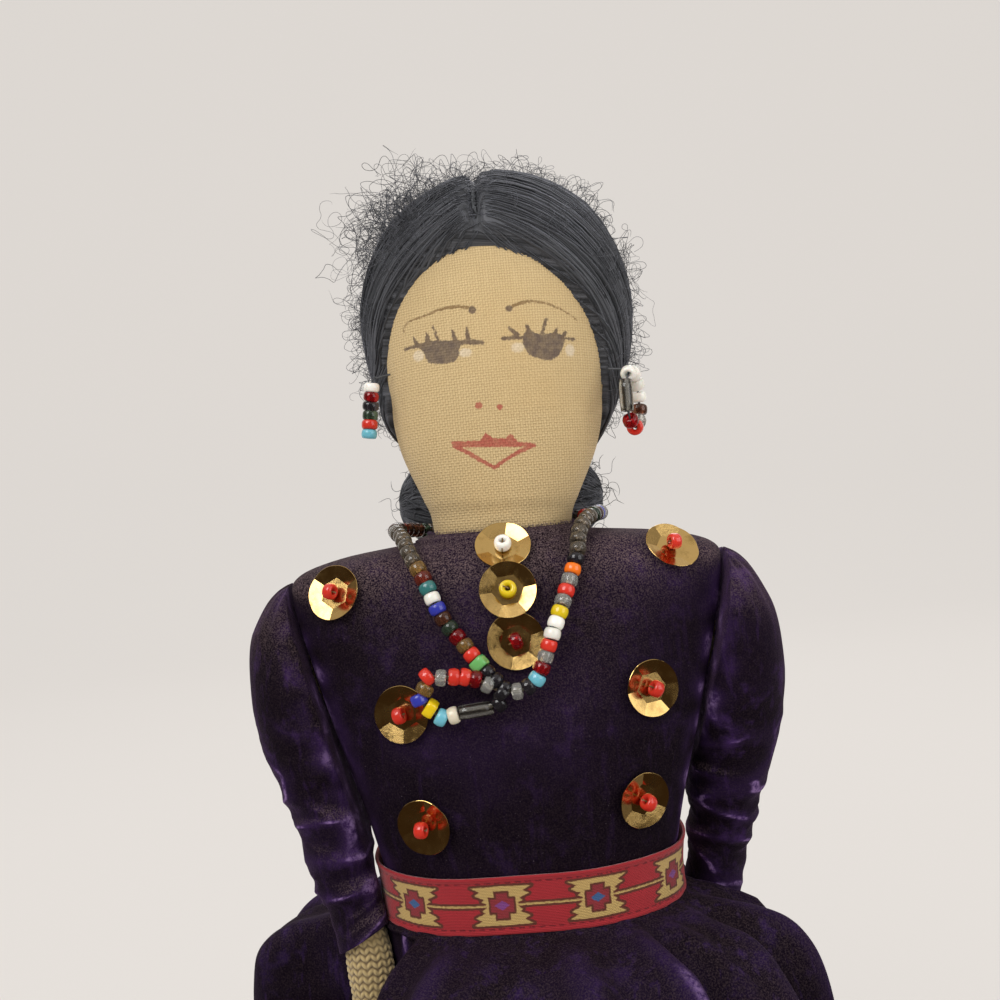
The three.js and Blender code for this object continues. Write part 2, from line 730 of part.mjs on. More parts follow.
addMesh(root, "necklace", geometryOf(necklace), colours.beads, 0.2);

// Pendant: a loop of beads that has flopped to one side of the V, and swings in its own plane.
// Rows of x and distance below the collar.
const pendantPlane = frontAt(0, waistHeight + 0.375 * chestHeight) - beadRadius - 2 * seat;
const pendantPoints = [
  [0.4, 28.8],
  [-1.6, 27.8],
  [-5, 26.1],
  [-10, 24.6],
  [-14.4, 24.4],
  [-16, 26],
  [-15.4, 28.3],
  [-13, 30.3],
  [-10.4, 31],
  [-6.4, 30.8],
  [-2.6, 31],
  [-0.2, 30.4],
];
const pendantCurve = new THREE.CatmullRomCurve3(
  pendantPoints.map(([x, below]) => new THREE.Vector3(x, pendantPlane, collarHeight - below)),
  true,
);
const pendantBeads = Math.round(pendantCurve.getLength() / beadPitch);
const pendant = facingOut(beadString(pendantCurve, pendantBeads, true));
addMesh(root, "pendant_loop", geometryOf(pendant), colours.beads, 0.2);

// Spangles: name, place on the front (x, z), lift of one that laps its neighbours, and its bead
const lapLift = spangleThickness + seat + 0.3;
const spangles = [
  ["collar_top", -0.2, collarHeight - 2.6, 0, colours.white, false],
  ["collar_middle", 0, collarHeight - 10, lapLift, colours.yellow, false],
  ["collar_low", 0.6, collarHeight - 18.6, 0, colours.red, true],
  ["right_shoulder", -30.8, collarHeight - 8.2, 0, colours.red, true],
  ["left_shoulder", 29.9, collarHeight - 5.4, 0, colours.red, true],
  ["right_chest", -20, waistHeight + (34.4 / 64) * chestHeight, 0, colours.red, true],
  ["left_chest", 23.4, waistHeight + (35 / 64) * chestHeight, 0, colours.red, true],
  ["right_waist", -17.8, waistHeight + (14.6 / 64) * chestHeight, 0, colours.red, true],
  ["left_waist", 20.2, waistHeight + (15.7 / 64) * chestHeight, 0, colours.red, true],
];
const spangleProfile = [
  [spangleHole, 0],
  [0.55 * spangleRadius, 0],
  [spangleRadius, spangleCup],
  [spangleRadius, spangleCup + spangleThickness],
  [0.55 * spangleRadius, spangleThickness],
  [spangleHole, spangleThickness],
  [spangleHole, 0],
];
const beadHole = 0.5;
const beadLength = beadPitch - 0.1;
const beadProfile = [
  [beadHole, -beadLength / 2],
  [0.75 * beadRadius, -beadLength / 2],
  [beadRadius, -0.2 * beadLength],
  [beadRadius, 0.2 * beadLength],
  [0.75 * beadRadius, beadLength / 2],
  [beadHole, beadLength / 2],
  [beadHole, -beadLength / 2],
];
const lathed = (profile, sides) =>
  new THREE.LatheGeometry(
    profile.map(([radius, along]) => new THREE.Vector2(radius, along)),
    sides,
  );

for (const [name, x, z, lift, beadColour, onEdge] of spangles) {
  const normal = frontNormal(x, z);
  const place = new THREE.Group();
  place.position.copy(onFront(x, z, seat + lift));
  place.quaternion.setFromUnitVectors(new THREE.Vector3(0, 1, 0), normal);
  root.add(place);
  addMesh(place, "spangle_" + name, lathed(spangleProfile, 12), colours.gold, 0.3, 0.8);
  const bead = addMesh(place, "spangle_bead_" + name, lathed(beadProfile, 8), beadColour, 0.2);
  bead.position.y = spangleThickness + seat + (onEdge ? beadRadius : beadLength / 2);
  if (onEdge) bead.rotation.z = Math.PI / 2;
}

// Legs: rows of height and radius, with a rounded top that turns at the hip
const legTop = hipHeight - 3 - 2 * seat;
const ankleHeight = soleHeight + 14;
const legTable = [
  [ankleHeight + seat, ankleRadius],
  [leggingHeight, ankleRadius + 1],
  [0.72 * hipHeight, thighRadius - 0.8],
  [legTop - 6, thighRadius],
  [legTop - 2.4, thighRadius - 1.2],
  [legTop - 0.6, 0.3 * thighRadius],
  [legTop, 0.8],
];
const legOutline = (grow) => (angle, z) => {
  const radius = alongTable(legTable, z, 1) + grow;
  return rounded(radius, radius)(angle);
};
const leggingLevels = levels(ankleHeight + seat, leggingHeight, 3);
const legLevels = [
  ...leggingLevels,
  ...levels(leggingHeight + 10, legTop - 6, 3),
  legTop - 2.4,
  legTop - 0.6,
  legTop,
];
const legSides = 14;

// The moccasin's rows hold height, half width, half length and how far its middle lies in front.
const footBottom = soleHeight + soleThickness + seat;
const footTable = [
  [footBottom, footHalfWidth, footLength / 2, 6],
  [footBottom + 3, footHalfWidth + 0.3, footLength / 2, 6],
  [footBottom + 6, footHalfWidth - 0.2, footLength / 2 - 2.4, 3.8],
  [footBottom + 9, footHalfWidth - 0.2, footLength / 2 - 4.8, 1.2],
  [ankleHeight, ankleRadius + 0.6, ankleRadius + 0.6, 0],
];
const footOutline = (angle, z) => {
  const [x, y] = rounded(alongTable(footTable, z, 1), alongTable(footTable, z, 2), 2.2)(angle);
  return [x, y - alongTable(footTable, z, 3)];
};

function buildLeg(side, name) {
  const group = new THREE.Group();
  group.position.x = (side * legSpacing) / 2;
  root.add(group);
  addMesh(group, name + "_leg", loft(legLevels.map((z) => ringOf(z, legSides, legOutline(0)))), colours.knit);
  const legging = shell(
    leggingLevels.map((z) => ringOf(z, legSides, legOutline(seat + leggingThickness))),
    leggingLevels.map((z) => ringOf(z, legSides, legOutline(seat))),
  );
  addMesh(group, name + "_legging", legging, colours.legging);
  const upper = loft(levels(footBottom, ankleHeight, 4).map((z) => ringOf(z, legSides, footOutline)));
  addMesh(group, name + "_moccasin", upper, colours.suede);
  const soleLevels = [soleHeight, soleHeight + soleThickness];
  const soleOutline = (angle) => footOutline(angle, footBottom);
  const sole = loft(soleLevels.map((z) => ringOf(z, legSides, soleOutline)));
  addMesh(group, name + "_moccasin_sole", sole, colours.suede);
}

buildLeg(1, "left");
buildLeg(-1, "right");

export default root;
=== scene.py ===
import math

import bpy
import numpy as np
from mathutils import Matrix, Vector, noise


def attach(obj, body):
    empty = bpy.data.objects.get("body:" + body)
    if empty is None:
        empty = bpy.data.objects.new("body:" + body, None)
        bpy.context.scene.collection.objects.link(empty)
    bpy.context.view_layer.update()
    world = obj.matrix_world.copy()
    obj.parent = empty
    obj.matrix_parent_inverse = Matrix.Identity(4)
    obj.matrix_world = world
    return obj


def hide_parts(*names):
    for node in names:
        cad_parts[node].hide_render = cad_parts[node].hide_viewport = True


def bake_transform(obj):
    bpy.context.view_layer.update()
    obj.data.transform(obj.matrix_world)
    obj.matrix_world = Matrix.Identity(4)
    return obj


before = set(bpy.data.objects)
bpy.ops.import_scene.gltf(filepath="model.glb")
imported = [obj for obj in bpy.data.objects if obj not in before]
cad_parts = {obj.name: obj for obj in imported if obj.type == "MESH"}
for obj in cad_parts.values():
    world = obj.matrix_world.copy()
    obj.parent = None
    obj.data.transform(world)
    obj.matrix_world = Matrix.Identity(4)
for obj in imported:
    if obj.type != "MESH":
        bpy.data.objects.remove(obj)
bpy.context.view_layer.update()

# A hand-sewn cloth doll in velvet. Tables are in millimetres, as in the part; objects are in metres.
# The doll faces -Y and its own left is +X.
mm = 0.001


# Smooth values between the rows of a table whose first column rises or falls.
def alongTable(table, at, column):
    rows = np.array(table, float)
    if rows[0, 0] > rows[-1, 0]:
        rows = rows[::-1]
    heights, values = rows[:, 0], rows[:, column]
    before = np.r_[0, np.arange(len(rows) - 1)]
    after = np.r_[np.arange(1, len(rows)), len(rows) - 1]
    slopes = (values[after] - values[before]) / (heights[after] - heights[before])
    x = np.clip(np.asarray(at, float), heights[0], heights[-1])
    i = np.clip(np.searchsorted(heights, x, side="right") - 1, 0, len(rows) - 2)
    width = heights[i + 1] - heights[i]
    t = (x - heights[i]) / width
    return ((2 * t**3 - 3 * t**2 + 1) * values[i] + (t**3 - 2 * t**2 + t) * width * slopes[i]
            + (3 * t**2 - 2 * t**3) * values[i + 1] + (t**3 - t**2) * width * slopes[i + 1])


def smoothStep(low, high, value):
    t = np.clip((np.asarray(value, float) - low) / (high - low), 0, 1)
    return t * t * (3 - 2 * t)


# A superellipse: an ellipse with fuller corners where power is over 2.
def rounded(angle, halfWidth, halfDepth, power=2.3):
    c, s = np.cos(angle), np.sin(angle)
    size = (np.abs(c) ** power + np.abs(s) ** power) ** (-1 / power)
    return halfWidth * size * c, halfDepth * size * s


# Angles once round, without the last, which is the first again.
def fullTurn(count):
    return np.linspace(0, 2 * math.pi, count, endpoint=False)


# An outline whose half width and half depth follow the second and third columns of a table.
def outlineAt(table, angles, z, grow=0.0, power=2.3):
    return rounded(angles, alongTable(table, z, 1) + grow, alongTable(table, z, 2) + grow, power)


# Points of a ring at one height, or at a height for each.
def levelRing(x, y, z):
    return np.stack([x, y, np.full_like(x, z)], 1)


def unit(vectors):
    return vectors / np.linalg.norm(vectors, axis=-1, keepdims=True)


def lengthAlong(line):
    return np.r_[0, np.cumsum(np.linalg.norm(np.diff(line, axis=0), axis=1))]


# Smooth waves of random length, the same each run: one value for each angle.
def randomWaves(angle, seed, lowest, highest):
    rng = np.random.default_rng(seed)
    total = np.zeros_like(np.asarray(angle, float))
    for count in range(lowest, highest + 1):
        total = total + rng.uniform(0.4, 1) * np.sin(count * angle + rng.uniform(0, 2 * math.pi))
    return total / math.sqrt(highest - lowest + 1)


def gridFaces(rows, columns, closed=True, start=0, flip=False):
    faces = []
    for r in range(rows - 1):
        for c in range(columns if closed else columns - 1):
            d = (c + 1) % columns
            face = (start + r * columns + c, start + r * columns + d,
                    start + (r + 1) * columns + d, start + (r + 1) * columns + c)
            faces.append(face[::-1] if flip else face)
    return faces


# A grid whose last row joins its first, as round a bead.
def loopFaces(rows, columns):
    last = (rows - 1) * columns
    return gridFaces(rows, columns) + [(last + i, last + (i + 1) % columns, (i + 1) % columns, i)
                                       for i in range(columns)]


# Leaves out the faces whose points are all chosen, and says which points are still used.
def openedAt(faces, chosen):
    faces = [face for face in faces if not all(chosen[i] for i in face)]
    used = np.unique(np.concatenate(faces))
    number = np.full(len(chosen), -1)
    number[used] = np.arange(len(used))
    return used, [number[list(face)].tolist() for face in faces]


def addObject(name, points, faces, material, smooth=True):
    mesh = bpy.data.meshes.new(name)
    mesh.from_pydata((np.asarray(points, float) * mm).tolist(), [], faces)
    mesh.validate()
    mesh.update()
    if smooth:
        mesh.shade_smooth()
    made = bpy.data.objects.new(name, mesh)
    bpy.context.collection.objects.link(made)
    for one in material if isinstance(material, (list, tuple)) else [material]:
        mesh.materials.append(one)
    return made


# Pieces that stand for a node of the part and ride on a body.
def joinTo(node, rides, finish, *pieces):
    for piece in pieces:
        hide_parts(node)
        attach(piece, rides)


def sideName(side):
    return "left" if side > 0 else "right"


def addValues(piece, name, values):
    attribute = piece.data.attributes.new(name, "FLOAT", "POINT")
    attribute.data.foreach_set("value", np.asarray(values, np.float32).ravel())


# Rings joined into a closed body, with a point in the middle of each end.
def closedLoft(rings):
    rings = np.asarray(rings, float)
    rows, columns = rings.shape[:2]
    points = rings.reshape(-1, 3).tolist()
    faces = gridFaces(rows, columns)
    points.append(rings[0].mean(0).tolist())
    faces += [(len(points) - 1, (i + 1) % columns, i) for i in range(columns)]
    points.append(rings[-1].mean(0).tolist())
    last = (rows - 1) * columns
    faces += [(len(points) - 1, last + i, last + (i + 1) % columns) for i in range(columns)]
    return points, faces


# Values of ridged or plain noise at points, in millimetres.
def noiseAt(points, scale, seed=0.0, ridged=False):
    shift = Vector((seed * 17.3, seed * 5.1, seed * 9.7))
    stretch = Vector(scale)
    values = np.array([noise.noise(Vector(p) * stretch + shift) for p in np.asarray(points).tolist()])
    return 1 - 2 * np.abs(values) if ridged else values


# Turns points about an axis through a place, by degrees.
def turned(points, place, axis, degrees):
    turn = np.array(Matrix.Rotation(math.radians(degrees), 3, Vector(axis)))
    return (np.asarray(points, float) - place) @ turn.T + place


# Materials
def linear(red, green, blue):
    return tuple(((v / 255) / 12.92 if v <= 10 else ((v / 255 + 0.055) / 1.055) ** 2.4)
                 for v in (red, green, blue)) + (1,)


class Nodes:
    def __init__(self, tree):
        self.tree = tree

    def add(self, kind, **settings):
        node = self.tree.nodes.new(kind)
        for key, value in settings.items():
            setattr(node, key, value)
        return node

    def link(self, output, target):
        self.tree.links.new(output, target)

    def put(self, value, socket):
        if isinstance(value, bpy.types.NodeSocket):
            self.link(value, socket)
        elif value is not None:
            socket.default_value = value

    def math(self, operation, a, b=None, clamp=False):
        node = self.add("ShaderNodeMath", operation=operation, use_clamp=clamp)
        for value, socket in zip((a, b), node.inputs):
            self.put(value, socket)
        return node.outputs[0]

    def times(self, a, b):
        return self.math("MULTIPLY", a, b)

    def plus(self, a, b, clamp=False):
        return self.math("ADD", a, b, clamp)

    def select(self, factor, a, b):
        node = self.add("ShaderNodeMix", data_type="FLOAT")
        for item, socket in zip((factor, None, a, b), node.inputs):
            self.put(item, socket)
        return node.outputs[0]

    def mix(self, factor, a, b, blend="MIX"):
        node = self.add("ShaderNodeMix", data_type="RGBA", blend_type=blend)
        self.put(factor, node.inputs[0])
        self.put(a, node.inputs[6])
        self.put(b, node.inputs[7])
        return node.outputs[2]

    def noise(self, vector, scale, detail=3, roughness=0.5):
        node = self.add("ShaderNodeTexNoise")
        self.put(vector, node.inputs["Vector"])
        self.put(scale, node.inputs["Scale"])
        node.inputs["Detail"].default_value = detail
        node.inputs["Roughness"].default_value = roughness
        return node.outputs["Fac"]

    def spread(self, value, low, high, toLow=0.0, toHigh=1.0):
        node = self.add("ShaderNodeMapRange", interpolation_type="SMOOTHSTEP")
        for item, socket in zip((value, low, high, toLow, toHigh), node.inputs):
            self.put(item, socket)
        return node.outputs[0]

    def scaled(self, vector, factors):
        node = self.add("ShaderNodeVectorMath", operation="MULTIPLY")
        self.put(vector, node.inputs[0])
        node.inputs[1].default_value = factors
        return node.outputs[0]

    def place(self):
        return self.add("ShaderNodeTexCoord").outputs["Object"]

    def value(self, name):
        return self.add("ShaderNodeAttribute", attribute_name=name).outputs["Fac"]

    def bump(self, height, strength, distance):
        node = self.add("ShaderNodeBump")
        node.inputs["Strength"].default_value = strength
        node.inputs["Distance"].default_value = distance
        self.put(height, node.inputs["Height"])
        return node.outputs["Normal"]


def newGroup(name, inputs, outputs):
    tree = bpy.data.node_groups.new(name, "ShaderNodeTree")
    for label, kind, value in inputs:
        socket = tree.interface.new_socket(label, in_out="INPUT", socket_type=kind)
        if value is not None:
            socket.default_value = value
    for label, kind in outputs:
        tree.interface.new_socket(label, in_out="OUTPUT", socket_type=kind)
    nodes = Nodes(tree)
    return nodes, nodes.add("NodeGroupInput").outputs, nodes.add("NodeGroupOutput").inputs


def newMaterial(name, **settings):
    material = bpy.data.materials.new(name)
    material.use_nodes = True
    shader = material.node_tree.nodes["Principled BSDF"]
    for label, value in settings.items():
        shader.inputs[label].default_value = value
    return material, Nodes(material.node_tree), shader.inputs


def placeGroup(nodes, tree, **values):
    node = nodes.add("ShaderNodeGroup", node_tree=tree)
    for label, value in values.items():
        nodes.put(value, node.inputs[label.replace("_", " ")])
    return node.outputs


# Plain weave: threads along X and Z that pass over and under, with slubs.
def makeWeaveGroup():
    nodes, given, out = newGroup(
        "plainWeave",
        [("Vector", "NodeSocketVector", None), ("Threads", "NodeSocketFloat", 2.2),
         ("Slub", "NodeSocketFloat", 0.3)],
        [("Height", "NodeSocketFloat"), ("Tint", "NodeSocketFloat")])
    across = nodes.add("ShaderNodeSeparateXYZ")
    nodes.link(given["Vector"], across.inputs[0])
    wander = nodes.times(nodes.noise(given["Vector"], 260, 2), 0.9)
    rate = nodes.times(given["Threads"], 1000 * math.pi)
    angles = []
    for axis in ("X", "Z"):
        along = nodes.times(across.outputs[axis], rate)
        angles.append(nodes.plus(along, wander))
    warp = nodes.math("ABSOLUTE", nodes.math("SINE", angles[0]))
    weft = nodes.math("ABSOLUTE", nodes.math("SINE", angles[1]))
    over = nodes.times(nodes.math("SINE", angles[0]), nodes.math("SINE", angles[1]))
    onTop = nodes.select(nodes.math("GREATER_THAN", over, 0), warp, weft)
    slub = nodes.noise(nodes.scaled(given["Vector"], (2600, 2600, 150)), 1, 2)
    slubAcross = nodes.noise(nodes.scaled(given["Vector"], (150, 150, 2600)), 1, 2)
    slubs = nodes.times(nodes.math("MAXIMUM", slub, slubAcross), given["Slub"])
    nodes.link(nodes.plus(onTop, slubs), out["Height"])
    nodes.link(nodes.plus(nodes.times(onTop, 0.5), slubs), out["Tint"])
    return nodes.tree


# Pile: short fibres that lie in patches, so the cloth is lighter where they lean.
def makePileGroup():
    nodes, given, out = newGroup(
        "velvetPile",
        [("Vector", "NodeSocketVector", None), ("Crush", "NodeSocketFloat", 0.0),
         ("Streaks", "NodeSocketFloat", 1.0)],
        [("Height", "NodeSocketFloat"), ("Lean", "NodeSocketFloat"), ("Dust", "NodeSocketFloat")])
    fine = nodes.noise(given["Vector"], 5200, 2, 0.7)
    patch = nodes.noise(given["Vector"], 150, 4, 0.62)
    broad = nodes.noise(given["Vector"], 30, 3, 0.5)
    streak = nodes.noise(nodes.scaled(given["Vector"], (520, 520, 120)), 1, 4, 0.6)
    streaks = nodes.times(nodes.spread(streak, 0.54, 0.7), given["Streaks"])
    crushedAndLitCrease = nodes.times(nodes.spread(patch, 0.52, 0.74), given["Crush"])
    lean = nodes.plus(nodes.times(nodes.spread(broad, 0.45, 0.75), 0.18),
                      nodes.plus(crushedAndLitCrease, nodes.times(streaks, 0.3)), clamp=True)
    nodes.link(nodes.plus(nodes.times(fine, 0.5), patch), out["Height"])
    nodes.link(lean, out["Lean"])
    specks = nodes.noise(given["Vector"], 2300, 3, 0.8)
    nodes.link(nodes.spread(specks, 0.655, 0.75), out["Dust"])
    return nodes.tree


# Long fibres along one direction of the piece, with a fine ridge for each.
def makeFibreGroup():
    nodes, given, out = newGroup(
        "fibres",
        [("Along", "NodeSocketFloat", 0.0), ("Across", "NodeSocketFloat", 0.0),
         ("Count", "NodeSocketFloat", 60.0)],
        [("Height", "NodeSocketFloat"), ("Tint", "NodeSocketFloat")])
    vector = nodes.add("ShaderNodeCombineXYZ")
    nodes.link(nodes.times(given["Across"], given["Count"]), vector.inputs[0])
    nodes.link(given["Along"], vector.inputs[1])
    fine = nodes.noise(vector.outputs[0], 1.0, 3, 0.6)
    coarse = nodes.noise(nodes.scaled(vector.outputs[0], (0.23, 0.4, 1)), 1.0, 2)
    nodes.link(nodes.plus(fine, nodes.times(coarse, 0.8)), out["Height"])
    nodes.link(nodes.times(nodes.plus(fine, coarse), 0.5), out["Tint"])
    return nodes.tree


weaveGroup = makeWeaveGroup()
pileGroup = makePileGroup()
fibreGroup = makeFibreGroup()
print("material groups made")


# Studio
studio = {
    "cameraPlace": (0, -0.199, 0.198), "viewAngle": 51.5, "roll": 5,
    "backdrop": (222, 217, 212), "paper": (118, 115, 112), "sweepRadius": 0.5, "wallDistance": 1.7,
    "ambient": 0.62, "roomDark": (58, 46, 36), "backdropGlow": 0.8, "aimedAt": (0, 0, 0.17),
    "lights": [("keyLight", (-0.55, -0.75, 0.95), 0.7, 8.6), ("fillLight", (0.8, -0.55, 0.45), 0.8, 4.0),
               ("backLight", (0.1, 0.9, 1.0), 0.8, 4.0)],  # name, place, size and power
}


def makeStudio(s):
    roll = math.radians(s["roll"])
    right = Vector((math.cos(roll), 0, -math.sin(roll)))
    up = Vector((math.sin(roll), 0, math.cos(roll)))
    data = bpy.data.cameras.new("photoCamera")
    data.angle = math.radians(s["viewAngle"])
    data.clip_start = 0.01
    camera = bpy.data.objects.new("photoCamera", data)
    bpy.context.collection.objects.link(camera)
    axes = Matrix((right, up, right.cross(up))).transposed().to_4x4()
    camera.matrix_world = Matrix.Translation(s["cameraPlace"]) @ axes
    bpy.context.scene.camera = camera

    pale, nodes, inputs = newMaterial("backdropPaper", **{"Roughness": 0.95, "Specular IOR Level": 0.1})
    grain = nodes.noise(nodes.place(), 3, 2)
    nodes.link(nodes.mix(grain, linear(*s["paper"]), linear(*[v - 3 for v in s["paper"]])),
               inputs["Base Color"])
    inputs["Emission Color"].default_value = linear(*s["backdrop"])
    inputs["Emission Strength"].default_value = s["backdropGlow"]
    profile = [(-9, 0)] + [(s["wallDistance"] - s["sweepRadius"] * (1 - math.sin(t)),
                              s["sweepRadius"] * (1 - math.cos(t)))
                             for t in np.linspace(0, math.pi / 2, 14)]
    profile.append((s["wallDistance"], 6))
    points = [(x / mm, y / mm, z / mm) for y, z in profile for x in (-9, 9)]
    sweep = addObject("studioSweep", points, gridFaces(len(profile), 2, closed=False), pale)
    sweep.visible_glossy = False

    for name, place, size, power in s["lights"]:
        lamp = bpy.data.lights.new(name, "AREA")
        lamp.energy = power
        lamp.size = size
        light = bpy.data.objects.new(name, lamp)
        bpy.context.collection.objects.link(light)
        light.location = place
        aim = Vector(s["aimedAt"]) - Vector(place)
        light.rotation_euler = aim.to_track_quat("-Z", "Y").to_euler()

    world = bpy.context.scene.world or bpy.data.worlds.new("studio")
    bpy.context.scene.world = world
    world.use_nodes = True
    nodes = Nodes(world.node_tree)
    background = world.node_tree.nodes["Background"]
    paths = nodes.add("ShaderNodeLightPath").outputs
    seen = nodes.math("MAXIMUM", paths["Is Camera Ray"],
                      nodes.math("MAXIMUM", paths["Is Glossy Ray"], paths["Is Transmission Ray"]))
    direction = nodes.add("ShaderNodeSeparateXYZ")
    nodes.link(nodes.add("ShaderNodeTexCoord").outputs["Generated"], direction.inputs[0])
    above = nodes.math("MAXIMUM", nodes.spread(direction.outputs["Z"], 0.22, 0.9),
                       nodes.spread(direction.outputs["Y"], -0.1, 0.6))
    room = nodes.mix(above, linear(*s["roomDark"]), linear(*s["backdrop"]))
    shown = nodes.mix(paths["Is Glossy Ray"], linear(*s["backdrop"]), room)
    nodes.link(nodes.mix(seen, (1, 1, 1, 1), shown), background.inputs["Color"])
    nodes.link(nodes.select(seen, s["ambient"], 1), background.inputs["Strength"])
    bpy.context.scene.view_settings.view_transform = "Standard"


makeStudio(studio)
print("studio made")


# Cloth finishes
muslinFinish = {
    "cloth": (208, 183, 137), "thread": (175, 147, 102), "threads": 2.1, "shade": (198, 168, 118),
}


# Places on a cloth that turns with the piece: threads run across its front and along its sides.
def clothPlace(nodes):
    place, normal = (nodes.add("ShaderNodeSeparateXYZ") for _ in range(2))
    nodes.link(nodes.place(), place.inputs[0])
    nodes.link(nodes.add("ShaderNodeNewGeometry").outputs["Normal"], normal.inputs[0])
    ahead = nodes.times(nodes.math("ABSOLUTE", normal.outputs["Y"]), 1.5)
    sideways = nodes.math("GREATER_THAN", nodes.math("ABSOLUTE", normal.outputs["X"]), ahead)
    across = nodes.select(sideways, place.outputs["X"], place.outputs["Y"])
    onCloth = nodes.add("ShaderNodeCombineXYZ")
    nodes.link(across, onCloth.inputs[0])
    nodes.link(place.outputs["Z"], onCloth.inputs[2])
    return onCloth.outputs[0]


def makeMuslin(name, f, extra=None):
    material, nodes, inputs = newMaterial(name, **{"Sheen Weight": 0.12, "Sheen Roughness": 0.5,
                                                   "Roughness": 0.88, "Specular IOR Level": 0.2})
    weave = placeGroup(nodes, weaveGroup, Vector=clothPlace(nodes), Threads=f["threads"], Slub=0.45)
    cloth = nodes.mix(nodes.spread(weave["Tint"], 0.2, 0.8), linear(*f["thread"]), linear(*f["cloth"]))
    blotch = nodes.noise(nodes.place(), 55, 3)
    cloth = nodes.mix(nodes.spread(blotch, 0.42, 0.75, 0, 0.45), cloth, linear(*f["shade"]))
    if extra:
        cloth = extra(nodes, cloth)
    nodes.link(cloth, inputs["Base Color"])
    nodes.link(nodes.bump(weave["Height"], 0.6, 0.00018), inputs["Normal"])
    return material


# The leaning and crushed colours also paint highlights on creases and seams; the tips colour also paints
# light from above on faces that turn upward.
velvetFinish = {
    "deep": (11, 3, 14), "leaningAndLitCrease": (60, 36, 84), "crushedAndLitCrease": (124, 98, 142), "litPileTips": (106, 88, 88),
    "dust": (104, 92, 100), "sheenTint": (142, 108, 152),
}


def makeVelvet(name, f, crush=0.35, streaks=0.5, dust=0.6, wornAndTopLit=0.9, sheen=0.11):
    material, nodes, inputs = newMaterial(name, **{"Sheen Weight": sheen, "Sheen Roughness": 0.26,
                                                   "Roughness": 0.8, "Specular IOR Level": 0.06})
    inputs["Sheen Tint"].default_value = linear(*f["sheenTint"])
    pile = placeGroup(nodes, pileGroup, Vector=nodes.place(), Crush=crush, Streaks=streaks)
    # Painted highlight where folds and seams catch the light: it lightens the pile and turns broken patches
    # of it lilac.
    litCrease = nodes.value("litCrease")
    lean = nodes.plus(pile["Lean"], litCrease, clamp=True)
    facing = nodes.add("ShaderNodeSeparateXYZ")
    nodes.link(nodes.add("ShaderNodeNewGeometry").outputs["Normal"], facing.inputs[0])
    # Painted light from above: faces that turn upward show many lit pile tips, the rest only a few.
    upward = nodes.spread(facing.outputs["Z"], 0.0, 0.5)
    litPileTips = nodes.spread(nodes.noise(nodes.place(), 3600, 3, 0.7), 0.4, 0.68)
    lit = nodes.times(litPileTips, nodes.plus(nodes.times(upward, wornAndTopLit), 0.08))
    colour = nodes.mix(lean, linear(*f["deep"]), linear(*f["leaningAndLitCrease"]))
    broken = nodes.spread(nodes.noise(nodes.place(), 900, 3, 0.7), 0.35, 0.65)
    colour = nodes.mix(nodes.times(nodes.spread(litCrease, 0.3, 0.8), broken), colour, linear(*f["crushedAndLitCrease"]))
    colour = nodes.mix(lit, colour, linear(*f["litPileTips"]))
    specks = nodes.times(pile["Dust"], dust)
    nodes.link(nodes.mix(specks, colour, linear(*f["dust"])), inputs["Base Color"])
    nodes.link(nodes.bump(pile["Height"], 0.5, 0.0005), inputs["Normal"])
    return material


muslin = makeMuslin("muslinCloth", muslinFinish)
velvet = makeVelvet("purpleVelvet", velvetFinish, crush=0.2, streaks=0.3, sheen=0.08)


# Head and neck
# Rows of height, half width and half depth. The whole head leans towards the doll's left.
head = {
    "lean": 2.5, "pivot": (0, 0, 192),
    "rows": [(191.1, 12.9, 10.2), (193.2, 13.2, 10.6), (195.9, 13.7, 11.2), (198.4, 14.8, 12.4),
             (208, 18.8, 15.1), (217.6, 20.5, 16.9), (227.2, 21.6, 17.5), (236.8, 22, 17.1),
             (245.8, 19.2, 15.1), (252.2, 13, 10.5), (256, 3, 2.6)],
    "columns": 240, "levels": 230,
}


